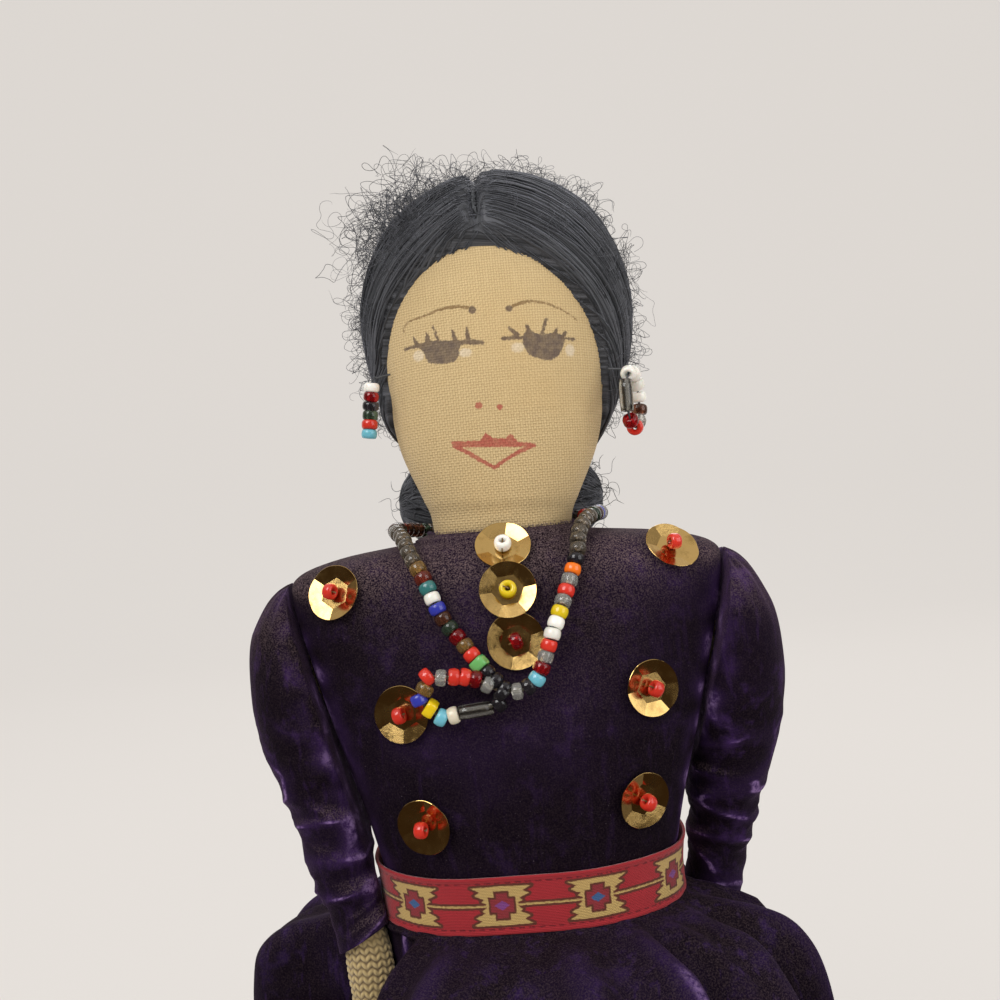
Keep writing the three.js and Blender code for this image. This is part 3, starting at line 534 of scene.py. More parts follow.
# The drawn face, in millimetres across the head: brown and grey ink, red ink, and white at the eyes.
face = {
    "brows": [[(-16.1, 228.6), (-16.3, 229.4), (-16.1, 230.1), (-15.5, 230.6), (-14.2, 231), (-12.8, 231.2),
               (-11.5, 231.5), (-10.4, 231.85), (-9, 232.15), (-7.5, 232.25), (-6.5, 232.3), (-5.3, 232.2),
               (-4.4, 231.9)],
              [(15, 229.6), (14.3, 230.1), (13.4, 230.7), (12.4, 231.3), (11.1, 231.8), (9.7, 232.25),
               (8.5, 232.55), (7.3, 232.7), (6.3, 232.65), (5.2, 232.5), (4.3, 232.2), (3.4, 231.8)]],
    "browDots": [(-3.65, 231.5, 0.72), (2.75, 231.5, 0.62)],
    "lashes": [(-16.2, 226, -14.1, 226.1, 0.3, 0.28), (-14.1, 226.1, -13, 226.1, 0.28, 0.5),
               (-6, 226, -4, 225.9, 0.4, 0.42), (-4, 225.9, -2.2, 225.7, 0.45, 0.35),
               (-14.6, 227.9, -13.8, 226.2, 0.16, 0.42), (-12, 228.2, -11.8, 226.6, 0.18, 0.55),
               (-10.85, 229.3, -9.9, 226.6, 0.2, 0.26), (-7.35, 228.3, -6.95, 226.5, 0.2, 0.45),
               (-4.85, 228.4, -4.6, 226.1, 0.2, 0.45), (1.6, 226.25, 4.9, 226.3, 0.36, 0.27),
               (12.6, 226.3, 14.1, 226.2, 0.12, 0.36), (2.7, 228, 4, 226.8, 0.3, 0.42),
               (5.8, 228.5, 6.15, 226.8, 0.24, 0.6), (9.3, 229.6, 8.45, 226.9, 0.26, 0.27),
               (11.2, 228, 10.5, 226.7, 0.22, 0.4), (12.7, 227.4, 12.1, 226.2, 0.24, 0.4)],
    "irises": [[(-13.5, 226.3), (-12.4, 226.7), (-10.4, 226.8), (-8, 226.4), (-6.3, 226.5), (-5.7, 225.8),
                (-6.3, 224.8), (-6.4, 223.7), (-6.7, 223.2), (-7.3, 222.7), (-8.8, 222.5), (-10.5, 222.6),
                (-12, 223), (-12.4, 224), (-12.7, 224.9), (-13.3, 225.6)],
               [(4.8, 226.4), (5.4, 227.3), (6.4, 227.5), (8.2, 226.9), (10.1, 227.1), (11.7, 227.1),
                (12.6, 226.5), (12.4, 225.5), (11.9, 224.1), (11.1, 223.1), (9.9, 222.3), (8.5, 222.4),
                (7.1, 222.8), (6, 223.3), (5.3, 224.4), (4.9, 225.5)]],
    "whites": [(-13.7, 224.4, 1.0, 1.0), (-5.2, 224.1, 1.1, 0.75), (4, 224.6, 1.2, 0.85),
               (13.4, 224.2, 0.85, 1.1)],
    "nostrils": [(-3.3, 214.8, 0.62), (0.4, 214.4, 0.55)],
    "upperLip": [(-8.8, 208.9), (-6.1, 208.7), (-3.35, 208.7), (-2.95, 209.3), (-2.3, 210), (-1.7, 209.6),
                 (-1, 208.95), (1.3, 208.85), (1.8, 209.45), (2.2, 209.65), (2.8, 208.9), (3.4, 208.15),
                 (5.1, 208), (6.5, 207.8), (6.5, 207.2), (4.5, 207.25), (0.7, 207.35), (-3, 207.5),
                 (-5.5, 207.6), (-6.8, 207.65), (-8.1, 207.85)],
    "lowerLip": [(-8, 208), (-5.6, 206.7), (-3.6, 205.35), (-1.9, 204.3), (-0.95, 203.8), (0.1, 204.55),
                 (1.9, 205.6), (3.8, 206.55), (6.2, 207.5)],
    "grey": (76, 64, 66), "brown": (112, 84, 50), "red": (166, 62, 60), "white": (222, 208, 186),
    "inks": [("eyeWhite", "white", 0.3, 0.62), ("browInk", "brown", 0.1, 0.85),
             ("greyInk", "grey", 0.14, 0.93), ("lashInk", "brown", 0.14, 0.25),
             ("redInk", "red", 0.12, 0.9)],  # in the order they are printed
}


def strokeDistance(x, z, x1, z1, x2, z2, start, end):
    length = max((x2 - x1) ** 2 + (z2 - z1) ** 2, 1e-9)
    t = np.clip(((x - x1) * (x2 - x1) + (z - z1) * (z2 - z1)) / length, 0, 1)
    return np.hypot(x - x1 - t * (x2 - x1), z - z1 - t * (z2 - z1)) - start - t * (end - start)


def lineDistance(x, z, line, start, end):
    widths = np.linspace(start, end, len(line))
    return np.min([strokeDistance(x, z, *line[i], *line[i + 1], widths[i], widths[i + 1])
                   for i in range(len(line) - 1)], 0)


# Distance to a filled shape, less than nothing inside it. A quarter is closed through the middle,
# where it has no edge.
def shapeDistance(x, z, corners, quarter=False):
    ring = corners + [(0, 0)] if quarter else corners
    edges = len(corners) - 1 if quarter else len(corners)
    inside = np.zeros(x.shape, bool)
    nearest = np.full(x.shape, 1e9)
    for i, ((x1, z1), (x2, z2)) in enumerate(zip(ring, ring[1:] + ring[:1])):
        if i < edges:
            nearest = np.minimum(nearest, strokeDistance(x, z, x1, z1, x2, z2, 0, 0))
        if z1 != z2:
            inside ^= ((z1 > z) != (z2 > z)) & (x < (x2 - x1) * (z - z1) / (z2 - z1) + x1)
    return np.where(inside, -nearest, nearest)


def drawFace(piece, flat, f):
    x, y, z = flat.T
    away = np.where(y < 0, 0, 9)
    brows = [lineDistance(x, z, line, 0.13, 0.3) for line in f["brows"]]
    dots = [np.hypot(x - u, (z - v) * 1.1) - r for u, v, r in f["browDots"]]
    lashes = [strokeDistance(x, z, *one) for one in f["lashes"]]
    irises = [shapeDistance(x, z, one) for one in f["irises"]]
    whites = [(np.hypot((x - u) / r, (z - v) / s) - 1) for u, v, r, s in f["whites"]]
    nostrils = [np.hypot(x - u, z - v) - r for u, v, r in f["nostrils"]]
    lips = [shapeDistance(x, z, f["upperLip"]), lineDistance(x, z, f["lowerLip"], 0.36, 0.36)]
    for name, parts in (("browInk", brows), ("greyInk", dots + lashes + irises), ("lashInk", lashes + dots),
                        ("eyeWhite", whites), ("redInk", lips + nostrils)):
        addValues(piece, name, np.clip(np.min(parts, 0) + away, -2, 2))


def faceInks(nodes, cloth):
    thread = nodes.times(nodes.math("SUBTRACT", nodes.noise(nodes.place(), 2400, 2), 0.5), 0.6)
    thin = nodes.noise(nodes.place(), 900, 3)

    def inked(cloth, name, colour, edge, strength):
        distance = nodes.plus(nodes.value(name), thread)
        amount = nodes.times(nodes.spread(distance, -edge, edge, 1, 0),
                            nodes.spread(thin, 0.3, 0.7, strength - 0.12, strength + 0.05))
        return nodes.mix(amount, cloth, nodes.mix(0.12, linear(*colour), cloth))

    for name, colour, edge, strength in face["inks"]:
        cloth = inked(cloth, name, face[colour], edge, strength)
    return cloth


def leanHead(points):
    return turned(points, np.array(head["pivot"], float), (0, 1, 0), head["lean"])


def makeHead(h):
    t = np.linspace(-math.pi, math.pi, h["columns"], endpoint=False)
    angles = -math.pi / 2 + t - 0.55 * np.sin(t)  # closer together on the face
    heights = np.linspace(h["rows"][0][0], h["rows"][-1][0], h["levels"])
    points, faces = closedLoft([levelRing(*outlineAt(h["rows"], angles, z, power=2), z) for z in heights])
    faceMuslin = makeMuslin("faceMuslin", muslinFinish, faceInks)
    piece = addObject("stuffedHead", leanHead(points), faces, faceMuslin)
    drawFace(piece, np.array(points), face)
    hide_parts("head")
    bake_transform(piece)


makeHead(head)
print("head made")


# Blouse
body = {
    "rows": [(94, 23.6, 16.5), (103, 26, 17.6), (128, 26.6, 18), (140.8, 29.1, 19.4),
             (154.88, 33.5, 20), (170.24, 38.5, 18.4), (181.76, 41, 16.4), (186.88, 38, 14.6),
             (189.6, 29, 12.6), (191.2, 15.4, 11.3)],
    "armhole": (37, 0, 168), "armholeLean": 13.5, "clothOut": 1.4, "seamRound": 0.9,
    "seamWidth": 2.8, "power": 2.3, "aroundBelt": (121, 123, 133, 135), "beltRoom": 1.1,
}


def armAxis(side):
    lean = math.radians(body["armholeLean"])
    return np.array((side * math.cos(lean), 0, -math.sin(lean)))


def armPivot(side):
    x, y, z = body["armhole"]
    return np.array((side * x, y, z), float)


# How near points are to the armhole's edge, from 1 on the seam to 0.
def nearSeam(points, side):
    past = (np.asarray(points, float) - armPivot(side)) @ armAxis(side)
    return np.exp(-(past / body["seamWidth"]) ** 2)


# Moves the points of a sleeve, or of the arm in it, off the body and the belt.
def heldOffBody(points, side, extra=0.0):
    x, y, z = points.T
    low, lowEnd, high, highEnd = body["aroundBelt"]
    atBelt = smoothStep(low, lowEnd, z) * (1 - smoothStep(high, highEnd, z))
    grow = body["clothOut"] + 0.35 + extra + body["beltRoom"] * atBelt
    halfWidth, halfDepth = (alongTable(body["rows"], z, i) + grow for i in (1, 2))
    share = np.clip(np.abs(y) / halfDepth, 0, 0.995) ** body["power"]
    least = halfWidth * (1 - share) ** (1 / body["power"])
    past = np.maximum(side * x - least, 0)
    outside = past + 0.12 * np.exp(-past)
    blend = smoothStep(162, 152, z)
    points = points.copy()
    points[:, 0] = side * ((side * x) * (1 - blend) + (least + outside) * blend)
    return points


# Holds points on the body's side (or the arm's side) of the armhole's plane, with a round edge.
def heldAtArmhole(points, side, gap, ofArm=False):
    away = -1 if ofArm else 1
    points = np.asarray(points, float)
    past = away * (points - armPivot(side)) @ armAxis(side) + gap
    k = body["seamRound"]
    push = 0.5 * (past + np.sqrt(past**2 + k**2))
    push = np.where(past > -6 * k, push, 0)
    return points - away * push[:, None] * armAxis(side)


def bodyOutline(angles, z, grow):
    return outlineAt(body["rows"], angles, z, grow)


def makeTorso():
    angles = fullTurn(72)
    points, faces = closedLoft([levelRing(*bodyOutline(angles, z, -0.3), z)
                                for z in np.linspace(94.5, 191, 60)])
    for side in (-1, 1):
        points = heldAtArmhole(points, side, 1.6)
    piece = addObject("stuffedTorso", points, faces, muslin)
    joinTo("torso", "body", "muslin", piece)


# The collar's rows are of height, half width and half depth, turned in at the top.
blouse = {
    "low": 128.15, "high": 191.6, "columns": 220, "levels": 170, "seamGap": 0.25,
    "collar": [(191.9, 16.2, 12.4), (192.3, 15, 11.7), (192.65, 14.1, 11.2), (192.5, 13.75, 11),
               (191.6, 13.7, 10.95)],
}


def makeBlouse(b):
    angles = fullTurn(b["columns"])
    top = body["rows"][-1][0]
    rings = [levelRing(*bodyOutline(angles, min(z, top), body["clothOut"]), z)
             for z in np.linspace(b["low"], b["high"], b["levels"])]
    rings += [levelRing(*rounded(angles, halfWidth, halfDepth), z) for z, halfWidth, halfDepth in b["collar"]]
    points = np.array(rings).reshape(-1, 3)
    for side in (-1, 1):
        points = heldAtArmhole(points, side, b["seamGap"])
    piece = addObject("velvetBlouse", points, gridFaces(len(rings), b["columns"]), velvet)
    # Painted highlight along the armhole seams, where the edge of the cloth catches the light.
    seams = np.maximum(nearSeam(points, 1), nearSeam(points, -1)) * smoothStep(184, 176, points[:, 2])
    broken = noiseAt(points, (0.25, 0.25, 0.25), 6)
    addValues(piece, "litCrease", seams * np.clip(0.45 + 0.9 * broken, 0, 1))
    joinTo("blouse_body", "body", "velvet", piece)
    return piece


makeTorso()
velvetBlouse = makeBlouse(blouse)
print("blouse made")


# Normals of a grid of points, pointing out for rings that run anticlockwise and rise.
def gridNormals(grid):
    across = np.roll(grid, -1, 1) - np.roll(grid, 1, 1)
    normals = np.cross(across, np.gradient(grid, axis=0))
    return normals / np.maximum(np.linalg.norm(normals, axis=2, keepdims=True), 1e-9)


# Sleeves and arms
# Rows of distance below the armhole's centre, outer edge, inner edge and half depth.
sleeve = {
    "rows": [(-17.9, 1.2, 0.4, 0.3), (-17.3, 4.6, -3, 3), (-15.5, 7.5, -3.5, 7.5),
             (-12, 10.2, -5, 11), (-6, 13, -6, 13), (2, 14.2, -7, 13.4), (10, 14.2, -7.5, 12.6),
             (18, 12.6, -6.6, 11.2), (27, 9.8, -5.8, 9.4), (36, 7.2, -5.6, 7.6),
             (44, 4.9, -6.4, 6.2), (51, 3.6, -7.6, 5.4)],
    "forward": {1: -8, -1: 9}, "columns": 150, "levels": 190, "wrinkles": 0.85, "gathers": 0.35,
    "bend": {1: [(-8, 0), (54, 0)], -1: [(-8, 0), (8, -1.6), (26, -3.4), (40, -3.4), (54, -4.6)]},
    "hemSlant": {1: 0.1, -1: 0.5}, "openingRadius": 6.5, "clothInside": -0.9, "turnIn": 6,
}
hand = {
    "halfWidth": 4.4, "length": 17, "shift": -2, "rowPitch": 1.25, "stitches": 15, "yarn": 0.42,
    "insideSleeve": 0.9, "knitShade": (94, 74, 46), "knitYarn": (182, 158, 108), "knitWorn": (152, 130, 84),
}


def hungFromArmhole(points, side):
    points = np.array(points, float)
    points[:, 0] += alongTable(sleeve["bend"][side], -points[:, 2], 1)
    points = points * (side, 1, 1) + armPivot(side)
    axis = -armAxis(1) if side > 0 else armAxis(-1)
    return turned(points, armPivot(side), axis, sleeve["forward"][side])


def sleeveRing(angles, below, grow):
    outer = alongTable(sleeve["rows"], below, 1) + grow
    inner = alongTable(sleeve["rows"], below, 2) - grow
    x, y = rounded(angles, (outer - inner) / 2, alongTable(sleeve["rows"], below, 3) + grow, 2)
    return levelRing(x + (outer + inner) / 2, y, -below)


def makeSleeve(side, s):
    angles = fullTurn(s["columns"])
    low, high = s["rows"][-1][0], s["rows"][0][0]
    depths = low + (high - low) * np.linspace(0, 1, s["levels"]) ** 1.15
    grid = np.array([sleeveRing(angles, below, 0) for below in depths])
    below = np.repeat(depths, len(angles))
    normals = gridNormals(grid).reshape(-1, 3)
    flat = grid.reshape(-1, 3)
    wrinkle = noiseAt(flat, (0.05, 0.05, 0.16), 3 + side, ridged=True)
    fine = noiseAt(flat, (0.11, 0.11, 0.3), 5 + side, ridged=True)
    window = smoothStep(2, 26, below) * (1 - 0.5 * smoothStep(44, 51, below))
    waves = np.tile(randomWaves(angles, 11 + side, 14, 19), len(depths))
    gather = waves * (1 - smoothStep(-16, 0, below))
    lift = s["wrinkles"] * window * (wrinkle - 0.55 + 0.45 * (fine - 0.5)) + s["gathers"] * gather
    flat = flat + normals * lift[:, None]
    slant = s["hemSlant"][side] * smoothStep(low - 24, low, below)
    flat[:, 2] += slant * (s["rows"][-1][1] - flat[:, 0])
    straight = sleeveRing(angles, low, s["clothInside"])
    hem = straight.copy()
    hem[:, 2] += s["hemSlant"][side] * (s["rows"][-1][1] - hem[:, 0])
    turnedIn = np.array([hem + (0, 0, rise) for rise in (s["turnIn"], s["turnIn"] / 2, 0.4)])
    turnedIn[0] = sleeveRing(angles, low - s["turnIn"], s["clothInside"]) + (hem - straight) * 0.8
    points = np.concatenate([turnedIn.reshape(-1, 3), flat])
    faces = gridFaces(len(turnedIn) + len(depths), len(angles), flip=side < 0)
    points = hungFromArmhole(points, side)
    fromPivot = points - armPivot(side)
    fromAxis = np.linalg.norm(np.cross(fromPivot, armAxis(side)), axis=1)
    used, faces = openedAt(faces, (fromPivot @ armAxis(side) < -1) & (fromAxis < s["openingRadius"]))
    points = heldOffBody(heldAtArmhole(points, side, blouse["seamGap"], ofArm=True), side)[used]
    piece = addObject(sideName(side) + "VelvetSleeve", points, faces, sleeveVelvet)
    # Painted highlight on the crests of the wrinkles and along the armhole seam.
    litCrease = window * (0.75 * smoothStep(0.86, 0.99, wrinkle) * smoothStep(0.45, 0.9, fine)
                       + 0.22 * smoothStep(0.5, 0.95, wrinkle))
    litCrease = np.r_[np.zeros(turnedIn.size // 3), litCrease][used]
    broken = noiseAt(points, (0.25, 0.25, 0.25), 7)
    addValues(piece, "litCrease", litCrease + nearSeam(points, side) * np.clip(0.3 + 0.8 * broken, 0, 1))
    joinTo(sideName(side) + "_sleeve", sideName(side) + "_arm_and_sleeve", "velvet", piece)
    return piece


def makeKnit(name, h):
    material, nodes, inputs = newMaterial(name, **{"Sheen Weight": 0.25, "Sheen Roughness": 0.6,
                                                   "Roughness": 0.95})
    loop = nodes.value("loop")
    cloth = nodes.mix(nodes.spread(loop, 0.1, 0.85), linear(*h["knitShade"]), linear(*h["knitYarn"]))
    patch = nodes.noise(nodes.place(), 260, 3)
    nodes.link(nodes.mix(nodes.spread(patch, 0.4, 0.7, 0, 0.5), cloth, linear(*h["knitWorn"])),
               inputs["Base Color"])
    fuzz = nodes.noise(nodes.place(), 3500, 3, 0.7)
    nodes.link(nodes.bump(fuzz, 0.5, 0.0002), inputs["Normal"])
    return material


# The hand: a knitted tube with a round end, whose upper part is inside the sleeve.
def makeHand(side, h):
    angles = fullTurn(150)
    wrist = sleeve["rows"][-1][0]
    rings, loops = [], []
    for below in np.linspace(wrist + h["length"], wrist - 12, 210):
        share = np.clip((below - wrist) / h["length"], 0, 1)
        size = math.sqrt(max(1 - ((share - 0.55) / 0.45) ** 2, 0.002)) if share > 0.55 else 1
        row = below / h["rowPitch"]
        column = angles / (2 * math.pi) * h["stitches"]
        leg = np.abs((column % 1) - 0.5) * 2
        phase = (row + 0.55 * leg) % 1
        loop = np.sin(math.pi * phase) ** 0.8 * (0.55 + 0.45 * np.sin(math.pi * leg) ** 2)
        grow = h["yarn"] * loop - 0.2
        sag = 0.35 * math.sin(below * 0.5)
        x, y = rounded(angles, h["halfWidth"] * size + grow * size + sag,
                       h["halfWidth"] * 0.9 * size + grow * size, 2)
        ring = levelRing(x + h["shift"], y, -below)
        inSleeve = smoothStep(wrist + 0.5, wrist - 5, below)
        rings.append(ring + (sleeveRing(angles, below, -1.4) - ring) * inSleeve)
        loops.append(loop)
    points, faces = closedLoft(rings)
    faces = [face[::side] for face in faces]
    held = heldOffBody(hungFromArmhole(points, side), side, h["insideSleeve"])
    piece = addObject(sideName(side) + "KnittedHand", held, faces, knit)
    addValues(piece, "loop", np.r_[np.concatenate(loops), 0.5, 0.5])
    joinTo(sideName(side) + "_arm", sideName(side) + "_arm_and_sleeve", "knit", piece)


# The arm in the sleeve, a little thinner than the sleeve all along.
def makeStuffedArm(side, h):
    angles = fullTurn(60)
    points, faces = closedLoft([sleeveRing(angles, below, -1.7) for below in np.linspace(47, -14.4, 70)])
    faces = [face[::side] for face in faces]
    points = heldAtArmhole(hungFromArmhole(points, side), side, 1.4, ofArm=True)
    points = heldOffBody(points, side, h["insideSleeve"])
    piece = addObject(sideName(side) + "StuffedArm", points, faces, muslin)
    joinTo(sideName(side) + "_arm", sideName(side) + "_arm_and_sleeve", "muslin", piece)


sleeveVelvet = makeVelvet("sleeveVelvet", velvetFinish, crush=0.55, streaks=0.7, dust=0.2, wornAndTopLit=0.45,
                          sheen=0.36)
knit = makeKnit("handKnit", hand)
sleeves = {side: makeSleeve(side, sleeve) for side in (1, -1)}
for side in (1, -1):
    makeHand(side, hand)
    makeStuffedArm(side, hand)
print("sleeves and arms made")


# Skirt
# Rows of length down the cloth, height, half width and half depth.
skirt = {
    "rows": [(0, 127.8, 28, 19.4), (4.2, 123.6, 28.3, 19.7), (6.2, 122.4, 30, 21.5), (12, 121, 35.5, 27.5),
             (20, 118.3, 42.5, 34.5), (28, 113, 47.5, 40), (36, 105.5, 50, 43), (46, 95.5, 50.5, 44),
             (66, 75.6, 51.5, 45), (104, 38, 54.5, 47), (141.8, 0.3, 57.4, 49.4)],
    "columns": 540, "levels": 180, "gathers": 2.0, "folds": 3.1, "broadFolds": 2.3,
    "valleys": [(204, 18, 11), (22, 16, 10)],  # degrees round, half spread and soft edge, beside each hand
    "valleySize": (28.6, 20.4), "valleyEnd": (38, 98), "sidePuff": 8, "puffAt": 162, "hemTurn": 7,
}


def angleFrom(angles, degrees):
    return np.abs((np.degrees(angles) - degrees + 180) % 360 - 180)


def makeSkirt(s):
    angles = fullTurn(s["columns"])
    lengths = np.linspace(s["rows"][-1][0], 0, s["levels"])
    fineWave = np.sin(27 * angles + 1.6 * np.sin(3 * angles + 0.6) + 1.1 * np.sin(7 * angles))
    fineWave = fineWave * (0.7 + 0.3 * np.sin(5 * angles + 1))
    foldWave = np.sin(15 * angles + 1.3 * np.sin(2 * angles + 1) + 0.5 * np.sin(5 * angles))
    broadWave = np.sin(10 * angles + 0.9 * np.sin(3 * angles + 2))
    valley = np.maximum(*[1 - smoothStep(spread, spread + soft, angleFrom(angles, middle))
                          for middle, spread, soft in s["valleys"]])
    sidePuff = 1 - smoothStep(2, 24, angleFrom(angles, s["puffAt"]))
    rings = []
    for length in lengths:
        z = alongTable(s["rows"], length, 1)
        gather = s["gathers"] * smoothStep(3, 14, length) * (1 - 0.75 * smoothStep(26, 80, length))
        fold = s["folds"] * smoothStep(5, 17, length) * (1 - 0.4 * smoothStep(60, 130, length))
        broad = s["broadFolds"] * smoothStep(18, 60, length)
        wave = gather * fineWave + fold * foldWave + broad * broadWave
        narrow = valley * smoothStep(5, 9, length) * (1 - smoothStep(*s["valleyEnd"], length))
        puff = sidePuff * smoothStep(8, 30, length) * (1 - smoothStep(60, 120, length))
        halfWidth = alongTable(s["rows"], length, 2) + wave * (1 - narrow) + s["sidePuff"] * puff
        halfDepth = alongTable(s["rows"], length, 3) + wave * (1 - narrow)
        halfWidth = halfWidth + (s["valleySize"][0] - halfWidth) * narrow
        halfDepth = halfDepth + (s["valleySize"][1] - halfDepth) * narrow
        x, y = rounded(angles, halfWidth, halfDepth)
        rise = 0.35 * gather * fineWave * (1 - smoothStep(20, 50, length))
        rings.append(levelRing(x, y, z + rise))
    grid = np.array(rings)
    normals = gridNormals(grid).reshape(-1, 3)
    flat = grid.reshape(-1, 3)
    far = np.repeat(lengths, len(angles))
    soft = noiseAt(flat, (0.09, 0.09, 0.06), 8, ridged=True)
    flat = flat + normals * (0.8 * smoothStep(8, 20, far) * (soft - 0.5))[:, None]
    hem = flat[:len(angles)] - normals[:len(angles)] * 0.9
    turnedIn = [hem + (0, 0, rise) for rise in (s["hemTurn"], s["hemTurn"] / 2, 0.3)]
    faces = gridFaces(len(turnedIn) + len(lengths), len(angles))
    piece = addObject("velvetSkirt", np.concatenate(turnedIn + [flat]), faces, skirtVelvet)
    # Painted highlight on the crests of the folds, strongest near the top of the skirt.
    crest = np.tile(0.6 * fineWave + 0.5 * foldWave, len(lengths))
    litCrease = 0.3 * smoothStep(0.1, 1, crest) + 0.5 * smoothStep(0.72, 1, crest) * smoothStep(0.5, 0.9, soft)
    litCrease = litCrease * smoothStep(6, 14, far) * (1 - 0.7 * smoothStep(40, 100, far))
    addValues(piece, "litCrease", np.r_[np.zeros(len(turnedIn) * len(angles)), litCrease])
    joinTo("skirt", "body", "velvet", piece)
    return piece


skirtVelvet = makeVelvet("skirtVelvet", {**velvetFinish, "leaningAndLitCrease": (56, 34, 84)}, crush=0.3, streaks=0.9,
                         dust=0.1, wornAndTopLit=0.12, sheen=0.13)
velvetSkirt = makeSkirt(skirt)
print("skirt made")


# Belt: a woven ribbon with stepped blocks, sewn over its own end at the back
belt = {
    "width": 10, "thickness": 0.5, "middle": 128, "repeat": 16.7, "firstBlock": -5.7, "lapLift": 0.62,
    "frontPoints": 58, "backPoints": 12, "rowPitch": 0.27, "ribPitch": 0.36,
    "stitchLine": 4.05, "stitchPitch": 1.75, "stitchHalf": 0.55,
    "ground": (170, 36, 44), "cream": (190, 158, 96), "outline": (96, 44, 30), "cross": (138, 42, 48),
    "purple": (124, 62, 128), "blue": (58, 92, 138), "stitch": (112, 14, 26),
    "block": [(0, 3.45), (5.3, 3.35), (3.7, 2.55), (4.8, 1.95), (3.0, 1.2), (3.6, 0.8), (2.75, 0.35),
              (2.75, 0)],
}


def boxDistance(u, w, halfWidth, halfHeight):
    return np.maximum(np.abs(u) - halfWidth, np.abs(w) - halfHeight)


def makeRibbonFinish(b):
    material, nodes, inputs = newMaterial("wovenRibbon", **{"Sheen Weight": 0.2, "Sheen Roughness": 0.4,
                                                            "Roughness": 0.72, "Specular IOR Level": 0.3})
    along, up = nodes.value("ribbonAlong"), nodes.value("ribbonUp")
    jitter = nodes.times(nodes.math("SUBTRACT", nodes.noise(nodes.place(), 2600, 2), 0.5), 0.34)
    row = nodes.times(up, math.pi / b["rowPitch"])
    rows = nodes.math("ABSOLUTE", nodes.math("SINE", row))
    parity = nodes.times(nodes.math("FLOOR", nodes.math("DIVIDE", up, b["rowPitch"])), 0.5)
    cords = nodes.times(nodes.plus(nodes.math("DIVIDE", along, b["ribPitch"]), parity), math.pi)
    ribs = nodes.math("ABSOLUTE", nodes.math("SINE", cords))
    weave = nodes.times(rows, nodes.plus(nodes.times(ribs, 0.7), 0.3))
    colour = nodes.mix(nodes.noise(nodes.place(), 140, 3), linear(*b["ground"]),
                       linear(*[int(v * 0.9) for v in b["ground"]]))

    def painted(colour, name, edge, paint, soft=0.09):
        distance = nodes.plus(nodes.value(name), jitter)
        inside = nodes.spread(distance, edge - soft, edge + soft, 1, 0)
        return nodes.mix(inside, colour, paint)

    for shape, edge, paint in (("blockDistance", 0.42, "outline"), ("blockDistance", 0, "cream"),
                               ("crossDistance", 0.38, "outline"), ("crossDistance", 0, "cross")):
        colour = painted(colour, shape, edge, linear(*b[paint]))
    centre = nodes.mix(nodes.value("blueCentre"), linear(*b["purple"]), linear(*b["blue"]))
    colour = painted(colour, "diamondDistance", 0, centre)
    colour = painted(colour, "stitchDistance", 0, linear(*b["stitch"]), 0.06)
    shade = nodes.spread(weave, 0.0, 0.6, 0.62, 1)
    grey = nodes.add("ShaderNodeCombineColor")
    for socket in grey.inputs[:3]:
        nodes.link(shade, socket)
    nodes.link(nodes.mix(1.0, colour, grey.outputs[0], "MULTIPLY"), inputs["Base Color"])
    nodes.link(nodes.bump(weave, 0.55, 0.00016), inputs["Normal"])
    return material


def makeBelt(b):
    turns = np.radians(np.linspace(90, 90 + 378, 1050))
    lap = b["lapLift"] * smoothStep(math.radians(448), math.radians(455), turns)
    half = b["width"] / 2
    front, back = b["frontPoints"], b["backPoints"]
    across = np.r_[np.linspace(half, -half, front), np.linspace(-half, half, back)]
    outer = np.r_[np.ones(front), np.zeros(back)]
    bulge = 0.12 * smoothStep(4.1, 4.6, np.abs(across)) * outer
    grid = []
    for turn, lift in zip(turns, lap):
        sag = 0.12 * math.sin(3 * turn) + 0.1 * math.sin(7 * turn + 1)
        heights = b["middle"] + across + sag
        grow = body["clothOut"] + 0.3 + lift + b["thickness"] * outer + bulge
        x, y = bodyOutline(np.full(len(across), turn), np.maximum(heights, b["middle"]), grow)
        grid.append(levelRing(x, y, heights))
    grid = np.array(grid)
    points, faces = closedLoft(grid)
    piece = addObject("wovenRibbonBelt", points, faces, makeRibbonFinish(b))
    steps = lengthAlong(grid[:, front // 2, :2])
    frontPlace = np.interp(math.radians(270), turns, steps)
    along = np.repeat(steps - frontPlace, len(across))
    up = np.tile(across, len(turns))
    block = np.round((along - b["firstBlock"]) / b["repeat"])
    u = np.abs(along - b["firstBlock"] - block * b["repeat"])
    w = np.abs(up)
    line = np.where(u > 2.5, w - 0.16, 9)
    blockDistance = np.minimum(shapeDistance(u, w, b["block"], quarter=True), line)
    crossDistance = np.minimum(boxDistance(u, w, 0.95, 2.2), boxDistance(u, w, 2.0, 1.15))
    diamondDistance = (u / 1.35 + w / 0.85 - 1) * 0.7
    dash = np.abs((along / b["stitchPitch"]) % 1 - 0.5) * b["stitchPitch"] - b["stitchHalf"]
    stitchDistance = np.maximum(np.abs(w - b["stitchLine"]) - 0.13, dash)
    hidden = np.where(np.tile(outer, len(turns)) > 0, 0, 9)
    drawn = {"blockDistance": blockDistance + hidden, "crossDistance": crossDistance + hidden,
             "diamondDistance": diamondDistance + hidden, "stitchDistance": stitchDistance + hidden,
             "blueCentre": (block % 2 == 1) * 1.0, "ribbonAlong": along, "ribbonUp": up}
    for name, values in drawn.items():
        addValues(piece, name, np.r_[values, 0, 0])
    joinTo("belt_ribbon", "body", "ribbon", piece)
    return piece, steps[-1]


beltRibbon, ribbonLength = makeBelt(belt)
print("belt made, %.1f mm of ribbon" % ribbonLength)


